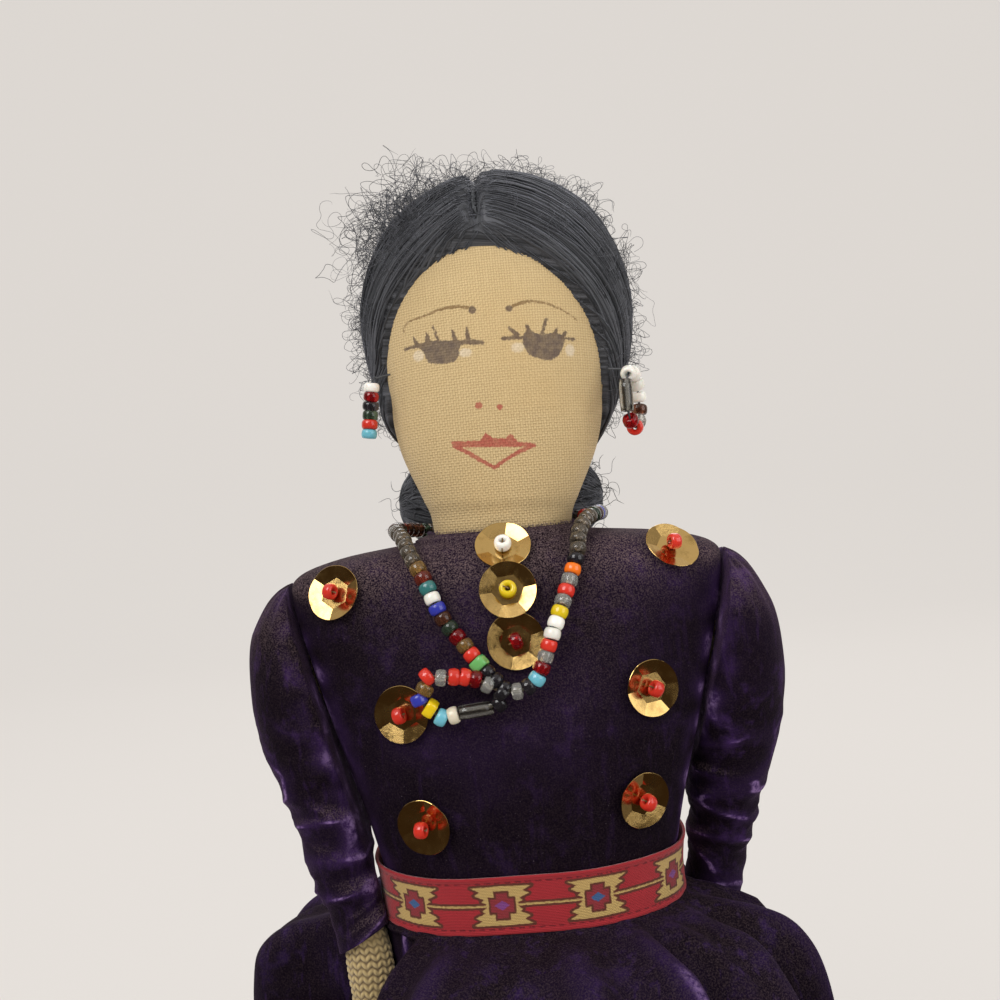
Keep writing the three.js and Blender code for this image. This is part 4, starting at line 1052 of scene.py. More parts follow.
# Hair
# Rows of height, half width, half depth and how far back the ring stands.
hair = {
    "rows": [(198.5, 11.4, 9, 9), (204, 16, 12.5, 7.5), (209.3, 19.6, 15.5, 5), (214.4, 22, 18.3, 3),
             (220.8, 24.4, 20.5, 2), (229.1, 26, 21.5, 1.4), (236.8, 26, 21.4, 1), (244.5, 24, 20.1, 0.8),
             (252.2, 19.4, 16.7, 0.6), (256.4, 13.5, 12.5, 0.3), (259, 7, 6.5, 0), (260, 2.4, 2, 0)],
    "middle": (0, 2, 226), "archSpring": 218.9, "archTop": 243, "archHalf": 19.5, "faceDepth": -4.5,
    "sweptBack": 15, "strands": 1000, "curls": 1150, "partShift": 2.3, "wideRight": 1.2, "thinRight": 1.3,
    "nape": (198.8, 201.5), "edgeRise": 3.2, "partDepth": 1.5, "leastThick": 1.6,
    "tuftShare": 0.1, "tuftTurn": (184, 240), "tuftHeight": (0.6, 0.9), "tuftReach": (6, 13),
    "curlReach": (0.8, 5.2), "dark": (37, 38, 40), "light": (102, 103, 108), "sheenTint": (150, 152, 166),
}
hairMiddle = np.array(hair["middle"], float)


# The parting stands a little to the doll's right at the top.
def partShift(z):
    return hair["partShift"] * smoothStep(226, 250, z)


# How far a surface of rings lies from the head's middle, in each direction.
def reachOf(directions, rows, shifted):
    near, far = np.full(len(directions), 0.5), np.full(len(directions), 60.0)
    for _ in range(26):
        reach = 0.5 * (near + far)
        p = hairMiddle + directions * reach[:, None]
        x, y, z = p.T
        shift = alongTable(rows, z, 3) if shifted else 0
        size = (x / alongTable(rows, z, 1)) ** 2 + ((y - shift) / alongTable(rows, z, 2)) ** 2
        outside = (size > 1) | (z > rows[-1][0]) | (z < rows[0][0])
        far = np.where(outside, reach, far)
        near = np.where(outside, near, reach)
    return 0.5 * (near + far)


# How far a place is from the hairline: less than nothing on the bare face.
def fromHairline(points):
    y, z = points[:, 1], points[:, 2]
    spring, top, half = hair["archSpring"], hair["archTop"], hair["archHalf"]
    x = np.abs(points[:, 0] + partShift(z)) - hair["wideRight"] * (points[:, 0] < 0) * smoothStep(243, 230, z)
    share = (z - spring) / (top - spring)
    opening = np.where(z > spring, half * np.sqrt(1 - np.clip(share, 0, 1) ** 2),
                       half + 3.2 * np.clip(spring - z, 0, 12))
    sideways = np.where(z < top, x - opening, np.hypot(x, z - top))
    nearTop = np.minimum(sideways, np.hypot(x / half, share) * 21 - 21)
    sideEdge = hair["faceDepth"] + hair["sweptBack"] * smoothStep(218, 202, z)
    return np.maximum(np.where(z > spring, nearTop, sideways), y - sideEdge)


# The hair's outside in each direction, and how far each place is inside the hairline.
def hairSurface(directions):
    directions = unit(directions)
    headReach = reachOf(directions, head["rows"], False)
    hairReach = reachOf(directions, hair["rows"], True)
    skin = hairMiddle + directions * headReach[:, None]
    x, y, z = skin.T
    inside = fromHairline(skin)
    nape = smoothStep(*hair["nape"], (hairMiddle + directions * hairReach[:, None])[:, 2])
    thick = np.sqrt(1 - (1 - np.clip(inside / hair["edgeRise"], 0, 1)) ** 2) * nape
    hairReach = hairReach - hair["thinRight"] * smoothStep(0, 14, -x)
    parting = np.exp(-(x + partShift(z)) ** 2) * smoothStep(-1, 3, inside) * smoothStep(14, 8, y)
    above = np.maximum(hairReach - headReach, hair["leastThick"] * smoothStep(206, 216, z))
    bare = (thick < 0.02) | (above <= 0)
    reach = headReach + np.where(above > 0, (above - hair["partDepth"] * parting) * thick, 0) - 0.9 * bare
    covered = (nape > 0) & (above > 0)
    return hairMiddle + directions * reach[:, None], np.minimum(inside, np.where(covered, 9, -9))


def makeWool(name, h):
    material, nodes, inputs = newMaterial(name, **{"Sheen Weight": 0.55, "Sheen Roughness": 0.4,
                                                   "Sheen Tint": linear(*h["sheenTint"]),
                                                   "Roughness": 0.62, "Specular IOR Level": 0.3})
    fibres = placeGroup(nodes, fibreGroup, Along=nodes.value("fibreAlong"),
                        Across=nodes.value("fibreAcross"), Count=95.0)
    tint = nodes.spread(fibres["Tint"], 0.36, 0.72)
    nodes.link(nodes.mix(tint, linear(*h["dark"]), linear(*h["light"])), inputs["Base Color"])
    nodes.link(nodes.bump(fibres["Height"], 0.7, 0.0004), inputs["Normal"])
    return material


def makeHairCap():
    rows, columns = 210, 300
    up = np.linspace(0, math.pi, rows)
    around = fullTurn(columns)
    directions = np.array([(math.sin(u) * np.cos(around), math.sin(u) * np.sin(around),
                            np.full(columns, -math.cos(u))) for u in up])
    directions = directions.transpose(0, 2, 1).reshape(-1, 3)
    points, line = hairSurface(directions)
    faces = [face for face in gridFaces(rows, columns) if max(line[i] for i in face) > -1.2]
    piece = addObject("woolHair", leanHead(points), faces, wool)
    y, z = (points - hairMiddle).T[1:]
    addValues(piece, "fibreAlong", np.hypot(y, z) * 0.1)
    addValues(piece, "fibreAcross", np.arctan2(y + 24, z + 6))
    joinTo("hair", "head_and_hair", "wool", piece)


wool = makeWool("blackWool", hair)
makeHairCap()
print("hair cap made")


# Thin round strands in one mesh: each path is a list of points, with a radius for the whole path.
def addStrands(name, paths, radii, material, sides=4, taper=True):
    points, faces, along, across = [], [], [], []
    angles = fullTurn(sides)
    for number, (path, radius) in enumerate(zip(paths, radii)):
        path = np.asarray(path, float)
        tangent = np.gradient(path, axis=0)
        tangent /= np.maximum(np.linalg.norm(tangent, axis=1, keepdims=True), 1e-9)
        helper = np.where(np.abs(tangent[:, 2:3]) > 0.9, (1.0, 0, 0), (0, 0, 1.0))
        first = np.cross(helper, tangent)
        first /= np.maximum(np.linalg.norm(first, axis=1, keepdims=True), 1e-9)
        second = np.cross(tangent, first)
        ends = np.linspace(0, 1, len(path))
        thinner = np.minimum(1, 0.35 + 6 * np.minimum(ends, 1 - ends)) if taper else np.ones(len(path))
        size = (radius * thinner)[:, None, None]
        rings = (path[:, None] + first[:, None] * (np.cos(angles)[None, :, None] * size)
                 + second[:, None] * (np.sin(angles)[None, :, None] * size))
        start = len(points)
        points.extend(rings.reshape(-1, 3).tolist())
        faces.extend(gridFaces(len(path), sides, start=start))
        faces.append(tuple(start + i for i in range(sides))[::-1])
        faces.append(tuple(start + (len(path) - 1) * sides + i for i in range(sides)))
        along.extend(np.repeat(ends, sides))
        across.extend([number * 0.37 % 7] * (len(path) * sides))
    piece = addObject(name, points, faces, material)
    addValues(piece, "fibreAlong", along)
    addValues(piece, "fibreAcross", across)
    return piece


# Strands run from the parting, round the side of the head and back into the bun.
def makeStrands(h):
    rng = np.random.default_rng(21)
    t = np.linspace(0, 1, 30)
    starts, turns, ends, lifts = [], [], [], []
    for _ in range(h["strands"]):
        side = rng.choice((-1, 1))
        q = rng.uniform(0, 1) ** 1.25 if rng.uniform() < 0.84 else rng.uniform(0.85, 1.45)
        back = math.radians(-48 + 92 * q)
        starts.append((side * rng.uniform(0.01, 0.05) - 0.08 * math.cos(back), math.sin(back),
                       math.cos(back) * 0.9))
        low = rng.normal(0, 0.03)
        turns.append((side * max(1.25 - 0.95 * q**1.6, 0.04), -0.42 + 1.25 * q, -0.22 + 0.34 * q + low))
        ends.append((side * rng.uniform(0.05, 0.28), 0.75 + 0.1 * q, -1.05 + 0.08 * rng.normal()))
        lifts.append(rng.uniform(-0.15, 0.45))
    starts, turns, ends = (unit(np.array(v)) for v in (starts, turns, ends))
    directions = ((1 - t)[None, :, None] ** 2 * starts[:, None] + (2 * t * (1 - t))[None, :, None] * 1.25
                  * turns[:, None] + t[None, :, None] ** 2 * ends[:, None])
    wobble = rng.normal(0, 0.012, (len(starts), 1, 3))
    wobble = wobble * np.sin(t * 9 + rng.uniform(0, 6, (len(starts), 1)))[..., None]
    placed, line = hairSurface(unit(directions + wobble).reshape(-1, 3))
    placed = placed + unit(placed - hairMiddle) * np.repeat(lifts, len(t))[:, None]
    placed, line = placed.reshape(len(starts), len(t), 3), line.reshape(len(starts), len(t))
    paths, radii = [], []
    for path, gaps in zip(placed, line):
        kept = path[gaps > 0.35]
        if len(kept) > 12:
            paths.append(leanHead(kept))
            radii.append(rng.uniform(0.13, 0.27))
    piece = addStrands("woolStrands", paths, radii, wool)
    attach(piece, "head_and_hair")


# Loose curled fibres that stand off the hair, thickest over the doll's right temple.
def makeCurls(h):
    rng = np.random.default_rng(33)
    tries = 3 * h["curls"]
    tuft = rng.uniform(size=tries) < h["tuftShare"]
    tuftTurn = np.radians(rng.uniform(*h["tuftTurn"], tries))
    azimuth = np.where(tuft, tuftTurn, rng.uniform(0, 2 * math.pi, tries))
    height = np.where(tuft, rng.uniform(*h["tuftHeight"], tries), rng.uniform(-0.6, 1, tries))
    flat = np.sqrt(1 - height**2)
    directions = np.stack([flat * np.cos(azimuth), flat * np.sin(azimuth), height], 1)
    roots, line = hairSurface(directions)
    paths, radii = [], []
    for number in np.flatnonzero(line > 0.5)[:h["curls"]]:
        direction, root = directions[number], roots[number]
        steps = int(rng.integers(40, 84) if tuft[number] else rng.integers(20, 56))
        point = root - direction * 0.4
        heading = unit(direction * (1.2 if tuft[number] else 0.7) + rng.normal(0, 0.6, 3))
        bend = unit(rng.normal(0, 1, 3)) * rng.uniform(0.1, 0.5)
        stretch = rng.uniform(0.3, 0.48)
        reach = rng.uniform(*h["tuftReach" if tuft[number] else "curlReach"])
        path = []
        for step in range(steps):
            path.append(point)
            if step % 9 == 8:
                bend = unit(bend + rng.normal(0, 0.6, 3)) * rng.uniform(0.1, 0.62)
            heading = unit(heading + np.cross(bend, heading) * 0.5 + rng.normal(0, 0.08, 3))
            away = point - root
            if away @ away > reach**2:
                heading = unit(heading + 0.45 * unit(root + direction * reach * 0.4 - point))
            point = point + heading * stretch
            if np.linalg.norm(point - hairMiddle) < np.linalg.norm(root - hairMiddle) + 0.2:
                heading = unit(heading + direction * 0.7)
        paths.append(leanHead(np.array(path)))
        radii.append(rng.uniform(0.028, 0.055))
    piece = addStrands("looseCurls", paths, radii, wool, sides=3)
    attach(piece, "head_and_hair")


makeStrands(hair)
makeCurls(hair)
print("strands and curls made")


# Beads and spangles
# Each word names a bead, in order along its string.
beads = {
    "radius": 1.5, "hole": 0.42, "halfLength": 0.97, "tubeRadius": 1.25, "tubeHalfLength": 2.9,
    "thread": 0.28, "threadColour": (126, 112, 88), "greyYarn": (92, 94, 98), "clearOfCloth": 1.95,
    "opaque": {"white": (233, 229, 219), "cream": (216, 206, 182), "red": (200, 48, 34),
               "orange": (236, 112, 20), "yellow": (220, 190, 22), "sun": (232, 196, 18),
               "blue": (48, 54, 156), "sky": (104, 174, 190), "leaf": (104, 170, 96),
               "teal": (50, 108, 106)},
    "clear": {"smoke": (150, 138, 122), "clear": (226, 224, 216), "amber": (196, 156, 92),
              "rust": (172, 76, 58), "brown": (122, 76, 56), "moss": (84, 104, 84), "ruby": (190, 28, 36),
              "night": (70, 66, 72), "tube": (198, 194, 184)},
    "squares": ("leaf", "sun"), "tubeStripe": (74, 70, 64), "pitch": 2.0, "lowest": (0, 165.1),
    "around": 24, "section": 14,
    "leftStrand": "night night night leaf red amber ruby moss brown blue white teal rust amber "
                  "smoke smoke smoke smoke smoke smoke",
    "rightStrand": "night sky ruby clear red white white yellow clear red clear orange night "
                   "smoke smoke smoke smoke smoke smoke",
    "back": ("smoke", "smoke", "night", "rust", "white", "clear", "red", "moss", "blue", "brown"),
    "rightEarring": "white ruby night moss red sky", "rightHook": (-21.572, -8.5, 221.469),
    "dropLength": 10.5, "dropLean": 8,
    "leftEarring": "white tube ruby red clear brown white white white", "leftHook": (25.916, -8.5, 219.396),
    "hoopTurn": -28, "hoopHalfWidth": 3.2, "hoopHalfHeight": 5.1,
}
# Rows of x, z and how far the string stands off the blouse; then x, y and z behind the neck.
necklaceFront = [(-16.5, 188.2, 0), (-14.45, 185, 0), (-12.4, 180.1, 0), (-10.7, 176.9, 0),
                 (-8.3, 173.7, 0.1), (-7.05, 171.8, 0.5), (-5.4, 169.6, 0.9), (-3.6, 167.4, 1.1),
                 (-2, 165.7, 1.25), (0, 165.1, 1.25), (1.7, 165.6, 1.25), (3.4, 166.7, 1.25),
                 (5, 169.8, 1.25), (6.7, 173.9, 1.25), (8.4, 177.6, 0.9), (10.1, 181.4, 0.1),
                 (12.5, 186.6, 0), (13.2, 189.2, 0)]
necklaceBack = [(15.2, -11, 193.2), (17.8, -5, 194), (19, 4, 193.8), (14.4, 12.4, 193), (5, 16, 191.6),
                (-5, 16, 191.6), (-14.4, 12.4, 193), (-19.4, 4, 193.8), (-20, -4.4, 193.8),
                (-18.3, -10.8, 192.6)]
pendant = {
    "y": -23.7,
    "beads": [(-2.6, 165.4, "night"), (-4.8, 167.1, "clear"), (-6.7, 168.2, "ruby"), (-8.6, 168.7, "red"),
              (-10.4, 168.9, "red"), (-12.6, 168.9, "clear"), (-14.9, 169.3, "red"), (-15.5, 167.2, "amber"),
              (-16.6, 165.5, "blue"), (-14.8, 163.9, "sun"), (-13.1, 162.2, "sky"),
              (-11, 162.4, "cream"), (-7.2, 162.9, "tube"), (-3.1, 163.7, "night")],
}
# Rows of name, x, z, lift and bead, and whether the bead stands on its edge.
spangle = {
    "radius": 5, "hexagon": 2.85, "hole": 0.6, "slope": 0.3, "thickness": 0.14, "seat": 0.45,
    "gold": (206, 172, 108), "tarnish": (150, 120, 68), "thread": (148, 116, 66), "rough": 0.13,
    "list": [("collar_top", -0.2, 189.4, 0, "white", False), ("collar_middle", 0, 182, 0.95, "yellow", False),
             ("collar_low", 0.6, 173.4, 0, "ruby", True), ("right_shoulder", -30.8, 183.8, 0, "red", True),
             ("left_shoulder", 29.9, 186.6, 0, "red", True), ("right_chest", -20, 162.4, 0, "red", True),
             ("left_chest", 23.4, 163, 0, "red", True), ("right_waist", -17.8, 142.6, 0, "red", True),
             ("left_waist", 20.2, 143.7, 0, "red", True)],
}


# A place on the blouse's front at x and z, lifted along the cloth's normal, and that normal.
def onBlouse(x, z, lift):
    def depth(atX, atZ):
        halfWidth, halfDepth = (float(alongTable(body["rows"], atZ, i)) + body["clothOut"] for i in (1, 2))
        return -halfDepth * (1 - min(abs(atX) / halfWidth, 0.99) ** body["power"]) ** (1 / body["power"])
    step = 1.5
    normal = unit(np.array(((depth(x + step, z) - depth(x - step, z)) / (2 * step), -1,
                            (depth(x, z + step) - depth(x, z - step)) / (2 * step))))
    return np.array((x, depth(x, z), z)) + normal * lift, normal


def onLine(at, marks, line):
    return np.stack([np.interp(at, marks, line[:, k]) for k in range(3)], 1)


# A smooth line through points, with even steps.
def smoothPath(points, closed, steps=16, spacing=0.25):
    points = np.asarray(points, float)
    count = len(points)
    line = []
    for i in range(count if closed else count - 1):
        near = [(i + k) % count if closed else min(max(i + k, 0), count - 1) for k in (-1, 0, 1, 2)]
        a, b, c, d = points[near]
        for t in np.linspace(0, 1, steps, endpoint=False):
            line.append(0.5 * (2 * b + (c - a) * t + (2 * a - 5 * b + 4 * c - d) * t**2
                               + (3 * b - a - 3 * c + d) * t**3))
    line.append(points[0] if closed else points[-1])
    line = np.array(line)
    length = lengthAlong(line)
    at = np.linspace(0, length[-1], max(int(length[-1] / spacing), 4))
    return onLine(at, length, line), length[-1]


# One bead as rings round its hole: the section is a rounded box, turned about the heading.
def beadMesh(word, place, heading, rng, squeeze):
    tube, square = word == "tube", word in beads["squares"]
    outer = beads["tubeRadius"] if tube else beads["radius"] * rng.uniform(0.95, 1.03)
    half = beads["tubeHalfLength"] if tube else beads["halfLength"] * squeeze * rng.uniform(0.94, 1.04)
    power = 12 if tube else 7 if square else 2.7
    radial, axial = rounded(fullTurn(beads["section"]), (outer - beads["hole"]) / 2, half, power)
    radial = radial + (outer + beads["hole"]) / 2
    around = fullTurn(beads["around"]) + rng.uniform(0, 1)
    first = unit(np.cross(heading, (0.1, 1, 0.2)))
    second = np.cross(heading, first)
    out = np.cos(around)[:, None] * first + np.sin(around)[:, None] * second
    size = np.ones((len(around), len(radial)))
    if square:
        corner = (np.abs(np.cos(around)) ** 6 + np.abs(np.sin(around)) ** 6) ** (-1 / 6)
        size = 1 + (corner[:, None] * 0.93 - 1) * (radial > beads["hole"] * 1.5)[None, :]
    points = place + out[:, None] * (radial * size)[..., None] + heading * axial[:, None]
    return points.reshape(-1, 3)


def addBeads(name, words, places, headings, seed, tilt=0.07, squeeze=1.0):
    rng = np.random.default_rng(seed)
    points, faces, colours, kinds = [], [], [], []
    quads = loopFaces(beads["around"], beads["section"])
    for word, place, heading in zip(words, places, headings):
        heading = unit(heading + rng.normal(0, tilt, 3))
        start = len(points)
        points.extend(beadMesh(word, place, heading, rng, squeeze).tolist())
        faces.extend([tuple(start + i for i in quad)[::-1] for quad in quads])
        clear = word in beads["clear"]
        kinds.extend([int(clear)] * len(quads))
        shade = np.tile(linear(*beads["clear" if clear else "opaque"][word]), (beads["around"], 1))
        shade[:, :3] *= rng.uniform(0.88, 1.05)
        if word == "tube":
            shade[np.arange(beads["around"]) % 4 > 1] = linear(*beads["tubeStripe"])
        colours.extend(np.repeat(shade, beads["section"], 0).tolist())
    piece = addObject(name, points, faces, [opaqueGlass, clearGlass])
    piece.data.polygons.foreach_set("material_index", kinds)
    colour = piece.data.attributes.new("glassColour", "FLOAT_COLOR", "POINT")
    colour.data.foreach_set("color", np.array(colours, np.float32).ravel())
    return piece


def makeGlass(name, **settings):
    material, nodes, inputs = newMaterial(name, **settings)
    colour = nodes.add("ShaderNodeAttribute", attribute_name="glassColour").outputs["Color"]
    nodes.link(colour, inputs["Base Color"])
    nodes.link(nodes.bump(nodes.noise(nodes.place(), 700, 1), 0.05, 0.0002), inputs["Normal"])
    return material


opaqueGlass = makeGlass("opaqueBeadGlass", **{"Roughness": 0.2, "Coat Weight": 0.35, "Coat Roughness": 0.08,
                                              "Subsurface Weight": 0.1, "Subsurface Scale": 0.0006})
clearGlass = makeGlass("clearBeadGlass", **{"Roughness": 0.1, "Transmission Weight": 0.82, "IOR": 1.5})


def makeThread(name, colour):
    material, nodes, inputs = newMaterial(name, Roughness=0.8)
    fibres = placeGroup(nodes, fibreGroup, Along=nodes.value("fibreAlong"),
                        Across=nodes.value("fibreAcross"), Count=40.0)
    nodes.link(nodes.mix(nodes.spread(fibres["Tint"], 0.3, 0.7), linear(*[v * 0.7 for v in colour]),
                         linear(*colour)), inputs["Base Color"])
    return material


beadThread = makeThread("beadThread", beads["threadColour"])
stitchYarn = makeThread("greyYarn", beads["greyYarn"])


def makeNecklace(b):
    front = [onBlouse(x, z, beads["clearOfCloth"] + lift)[0] for x, z, lift in necklaceFront]
    line, length = smoothPath(front + [np.array(p, float) for p in necklaceBack], closed=True)
    rng = np.random.default_rng(4)
    count = round(length / b["pitch"])
    lowest = int(np.argmin(np.hypot(line[:, 0] - b["lowest"][0], line[:, 2] - b["lowest"][1])))
    at = (lowest + np.arange(count) / count * (len(line) - 1)).astype(int) % (len(line) - 1)
    right, left = b["rightStrand"].split(), b["leftStrand"].split()
    hidden = [b["back"][rng.integers(len(b["back"]))] for _ in range(count - 1 - len(right) - len(left))]
    words = ["clear"] + right + hidden + left[::-1]
    headings = unit(line[(at + 2) % (len(line) - 1)] - line[at - 2])
    strung = addBeads("necklaceBeads", words, line[at], headings, 5)
    thread = addStrands("necklaceThread", [line], [b["thread"]], beadThread, sides=8, taper=False)
    joinTo("necklace", "body", "mixed_beads", strung, thread)


def makePendant(p):
    places = np.array([(x, p["y"], z) for x, z, _ in p["beads"]])
    words = [word for _, _, word in p["beads"]]
    headings = unit(np.roll(places, -1, 0) - np.roll(places, 1, 0))
    tube = words.index("tube")
    headings[tube] = unit(places[tube + 1] - places[tube - 1])
    places[:, 1] += np.random.default_rng(8).normal(0, 0.12, len(places))
    strung = addBeads("pendantBeads", words, places, headings, 9, tilt=0.12)
    line, _ = smoothPath(places, closed=True)
    thread = addStrands("pendantThread", [line], [beads["thread"]], beadThread, sides=8, taper=False)
    joinTo("pendant_loop", "pendant", "mixed_beads", strung, thread)


# Beads in a row along a line, each as long as its kind.
def alongLine(words, line):
    halves = np.array([beads["tubeHalfLength" if word == "tube" else "halfLength"] for word in words])
    at = (2 * np.cumsum(halves) - halves) / (2 * halves.sum()) * (len(line) - 1)
    places = onLine(at, np.arange(len(line)), line)
    ahead = onLine((at + 1.5) % (len(line) - 1), np.arange(len(line)), line)
    return places, unit(ahead - places)


def makeEarrings(b):
    top = np.array(b["rightHook"])
    words = b["rightEarring"].split()
    drop = top + np.array([(0, 0, -0.25 * i) for i in range(int(b["dropLength"] / 0.25))])
    line = turned(drop, top, (0, 1, 0), b["dropLean"])
    places, headings = alongLine(words, line)
    headings[-1] = headings[0]
    strung = addBeads("rightEarringBeads", words, places, headings, 12, 0.05, 0.88)
    path, _ = smoothPath([top + (3.4, 1, 1.4), top + (1.2, 0.2, 0.9), top, line[-1]], closed=False)
    thread = addStrands("rightEarringThread", [path], [0.16], stitchYarn, sides=8, taper=False)
    joinTo("right_earring", "right_ear_drop", "mixed_beads", strung, thread)
    top = np.array(b["leftHook"])
    words = b["leftEarring"].split()
    turn = np.linspace(0, 2 * math.pi, 25)[:-1]
    ring = top + np.stack([np.zeros(24), -b["hoopHalfWidth"] * np.sin(turn),
                           b["hoopHalfHeight"] * (np.cos(turn) - 1)], 1)
    line, _ = smoothPath(turned(ring, top, (0, 0, 1), b["hoopTurn"]), closed=True)
    places, headings = alongLine(words, line)
    strung = addBeads("leftEarringBeads", words, places, headings, 13)
    stub, _ = smoothPath([top + (0, 0, -0.2), top + (-1.5, 0, 0.6), top + (-4, 0.6, 1)], closed=False)
    thread = addStrands("leftEarringThread", [line, stub], [0.2, 0.16], stitchYarn, sides=8, taper=False)
    joinTo("left_earring", "left_ear_hoop", "mixed_beads", strung, thread)


def makeGold(s):
    material, nodes, inputs = newMaterial("spangleGold", **{"Metallic": 1.0, "Roughness": s["rough"]})
    wornAndTopLit = nodes.noise(nodes.place(), 330, 4, 0.6)
    nodes.link(nodes.mix(nodes.spread(wornAndTopLit, 0.5, 0.75, 0, 0.6), linear(*s["gold"]), linear(*s["tarnish"])),
               inputs["Base Color"])
    nodes.link(nodes.spread(wornAndTopLit, 0.35, 0.7, s["rough"], s["rough"] + 0.16), inputs["Roughness"])
    nodes.link(nodes.bump(nodes.noise(nodes.place(), 1500, 2), 0.1, 0.0001), inputs["Normal"])
    return material


# A pressed disc: a flat hexagon with six facets that rise to the round edge.
def makeSpangle(s, name, x, z, lift, word, onEdge, number):
    title = name.title().replace("_", "")
    place, normal = onBlouse(x, z, s["seat"] + lift)
    rng = np.random.default_rng(40 + number)
    spin = rng.uniform(0, 1)
    across = unit(np.cross(normal, (0, 0.2, 1.0)))
    above = np.cross(across, normal)
    around = fullTurn(72)
    toSide = (np.degrees(around) % 60) - 30
    flatSide = s["hexagon"] * math.cos(math.pi / 6)
    hexagon = flatSide / np.cos(np.radians(toSide))
    rings = []
    for reach, down in ((s["hole"], 0), (hexagon, 0), (s["radius"] - 0.06, 0), (s["radius"], 0.5),
                        (s["radius"] - 0.06, 1), (hexagon, 1), (s["hole"], 1)):
        reach = np.broadcast_to(np.asarray(reach, float), around.shape)
        past = np.maximum(reach * np.cos(np.radians(toSide)) - flatSide, 0)
        height = s["slope"] * past - down * s["thickness"]
        rings.append(place + (reach * np.cos(around + spin))[:, None] * across
                     + (reach * np.sin(around + spin))[:, None] * above + height[:, None] * normal)
    points = np.concatenate(rings)
    disc = addObject("spangle" + title, points, loopFaces(len(rings), len(around)), spangleGold, smooth=False)
    joinTo("spangle_" + name, "body", "spangle_gold", disc)
    heading = unit(across + 0.4 * rng.normal(0, 1) * above) if onEdge else unit(normal + 0.12 * above)
    rise = beads["radius"] if onEdge else beads["halfLength"]
    centre = place + normal * (0.1 + rise)
    bead = addBeads("spangleBead" + title, [word], [centre], [heading], 60 + number, 0.03)
    side = heading if onEdge else unit(np.cross(normal, rng.normal(0, 1, 3)))
    through = ([centre - side * 0.95, centre + side * 0.95, centre + side * 1.25] if onEdge
               else [centre, centre + normal * 1.35, centre + side * 1.65])
    under = place - normal * 0.5
    line, _ = smoothPath([under, *through, under + side * 0.3], closed=False)
    thread = addStrands("spangleThread" + title, [line], [0.13], spangleThread, sides=6, taper=False)
    beadSlot = {"white": "white_bead", "yellow": "yellow_bead"}.get(word, "red_bead")
    joinTo("spangle_bead_" + name, "body", beadSlot, bead, thread)


makeNecklace(beads)
makePendant(pendant)
makeEarrings(beads)
spangleGold = makeGold(spangle)
spangleThread = makeThread("spangleThread", spangle["thread"])
for number, row in enumerate(spangle["list"]):
    makeSpangle(spangle, *row, number)
print("beads and spangles made")


# Bun, its tie and the parting's stitch
bun = {
    "centre": (0, 25, 198), "half": 22, "lobe": 9, "waist": 4.6, "strands": 420, "curls": 150,
    "yarn": 0.42, "turns": 4.6, "tieWidth": 5.6, "tieRadius": 5.7, "white": (226, 222, 212),
    "tail": [(0, 0, 0), (1.5, 2, 0.6), (2.6, 3.4, -3), (3.2, 3.2, -8)],
}


def bunRadius(x):
    across = np.abs(np.asarray(x, float)) / bun["half"]
    lobe = bun["lobe"] * np.sqrt(np.clip(1 - ((across - 0.56) / 0.44) ** 2, 0, 1))
    neck = bun["waist"] + (bun["lobe"] - bun["waist"]) * smoothStep(0.13, 0.56, across)
    return np.where(across > 0.56, lobe, neck)


def aroundBun(x, angle, radius):
    return np.stack([x, radius * np.cos(angle), radius * np.sin(angle)], -1) + bun["centre"]


def makeBun(b):
    angles = fullTurn(60)
    rings = [aroundBun(np.full(60, x), angles, float(bunRadius(x)) * 0.93 + 0.02)
             for x in b["half"] * np.sin(np.linspace(-math.pi / 2, math.pi / 2, 90)) * 0.995]
    points, faces = closedLoft(rings)
    base = addObject("bunCore", leanHead(points), faces, wool)
    addValues(base, "fibreAlong", np.array(points)[:, 0] * 0.1)
    addValues(base, "fibreAcross", np.r_[np.tile(angles, 90), 0, 0])
    rng = np.random.default_rng(71)
    paths, radii = [], []
    for _ in range(b["strands"]):
        start, drift = rng.uniform(0, 2 * math.pi), rng.normal(0, 0.5)
        reach = rng.uniform(0.9, 1)
        x = b["half"] * reach * np.sin(np.linspace(-math.pi / 2, math.pi / 2, 34) * rng.uniform(0.9, 1))
        wave = 0.06 * np.sin(np.linspace(0, rng.uniform(8, 16), 34) + start)
        lift = rng.uniform(-0.4, 0.5) * smoothStep(2, 8, np.abs(x))
        angle = start + drift * np.linspace(-1, 1, 34) + wave
        paths.append(leanHead(aroundBun(x, angle, bunRadius(x) * 0.97 + lift)))
        radii.append(rng.uniform(0.13, 0.25))
    strands = addStrands("bunStrands", paths, radii, wool)
    paths, radii = [], []
    for _ in range(b["curls"]):
        x = rng.choice((-1, 1)) * rng.uniform(8, 21)
        angle = rng.uniform(0, 2 * math.pi)
        point = aroundBun(np.array(x), np.array(angle), float(bunRadius(x)) - 0.2)
        out = unit(point - aroundBun(np.array(x * 0.6), np.array(angle), 0.0))
        heading, bend = unit(out + rng.normal(0, 0.7, 3)), unit(rng.normal(0, 1, 3)) * 0.4
        path = []
        for step in range(int(rng.integers(22, 46))):
            path.append(point)
            heading = unit(heading + np.cross(bend, heading) * 0.6 + rng.normal(0, 0.07, 3)
                           + 0.12 * out * (step < 6))
            point = point + heading * 0.32
        paths.append(leanHead(np.array(path)))
        radii.append(rng.uniform(0.04, 0.08))
    loose = addStrands("bunCurls", paths, radii, wool, sides=3)
    joinTo("bun", "head_and_hair", "wool", base, strands, loose)


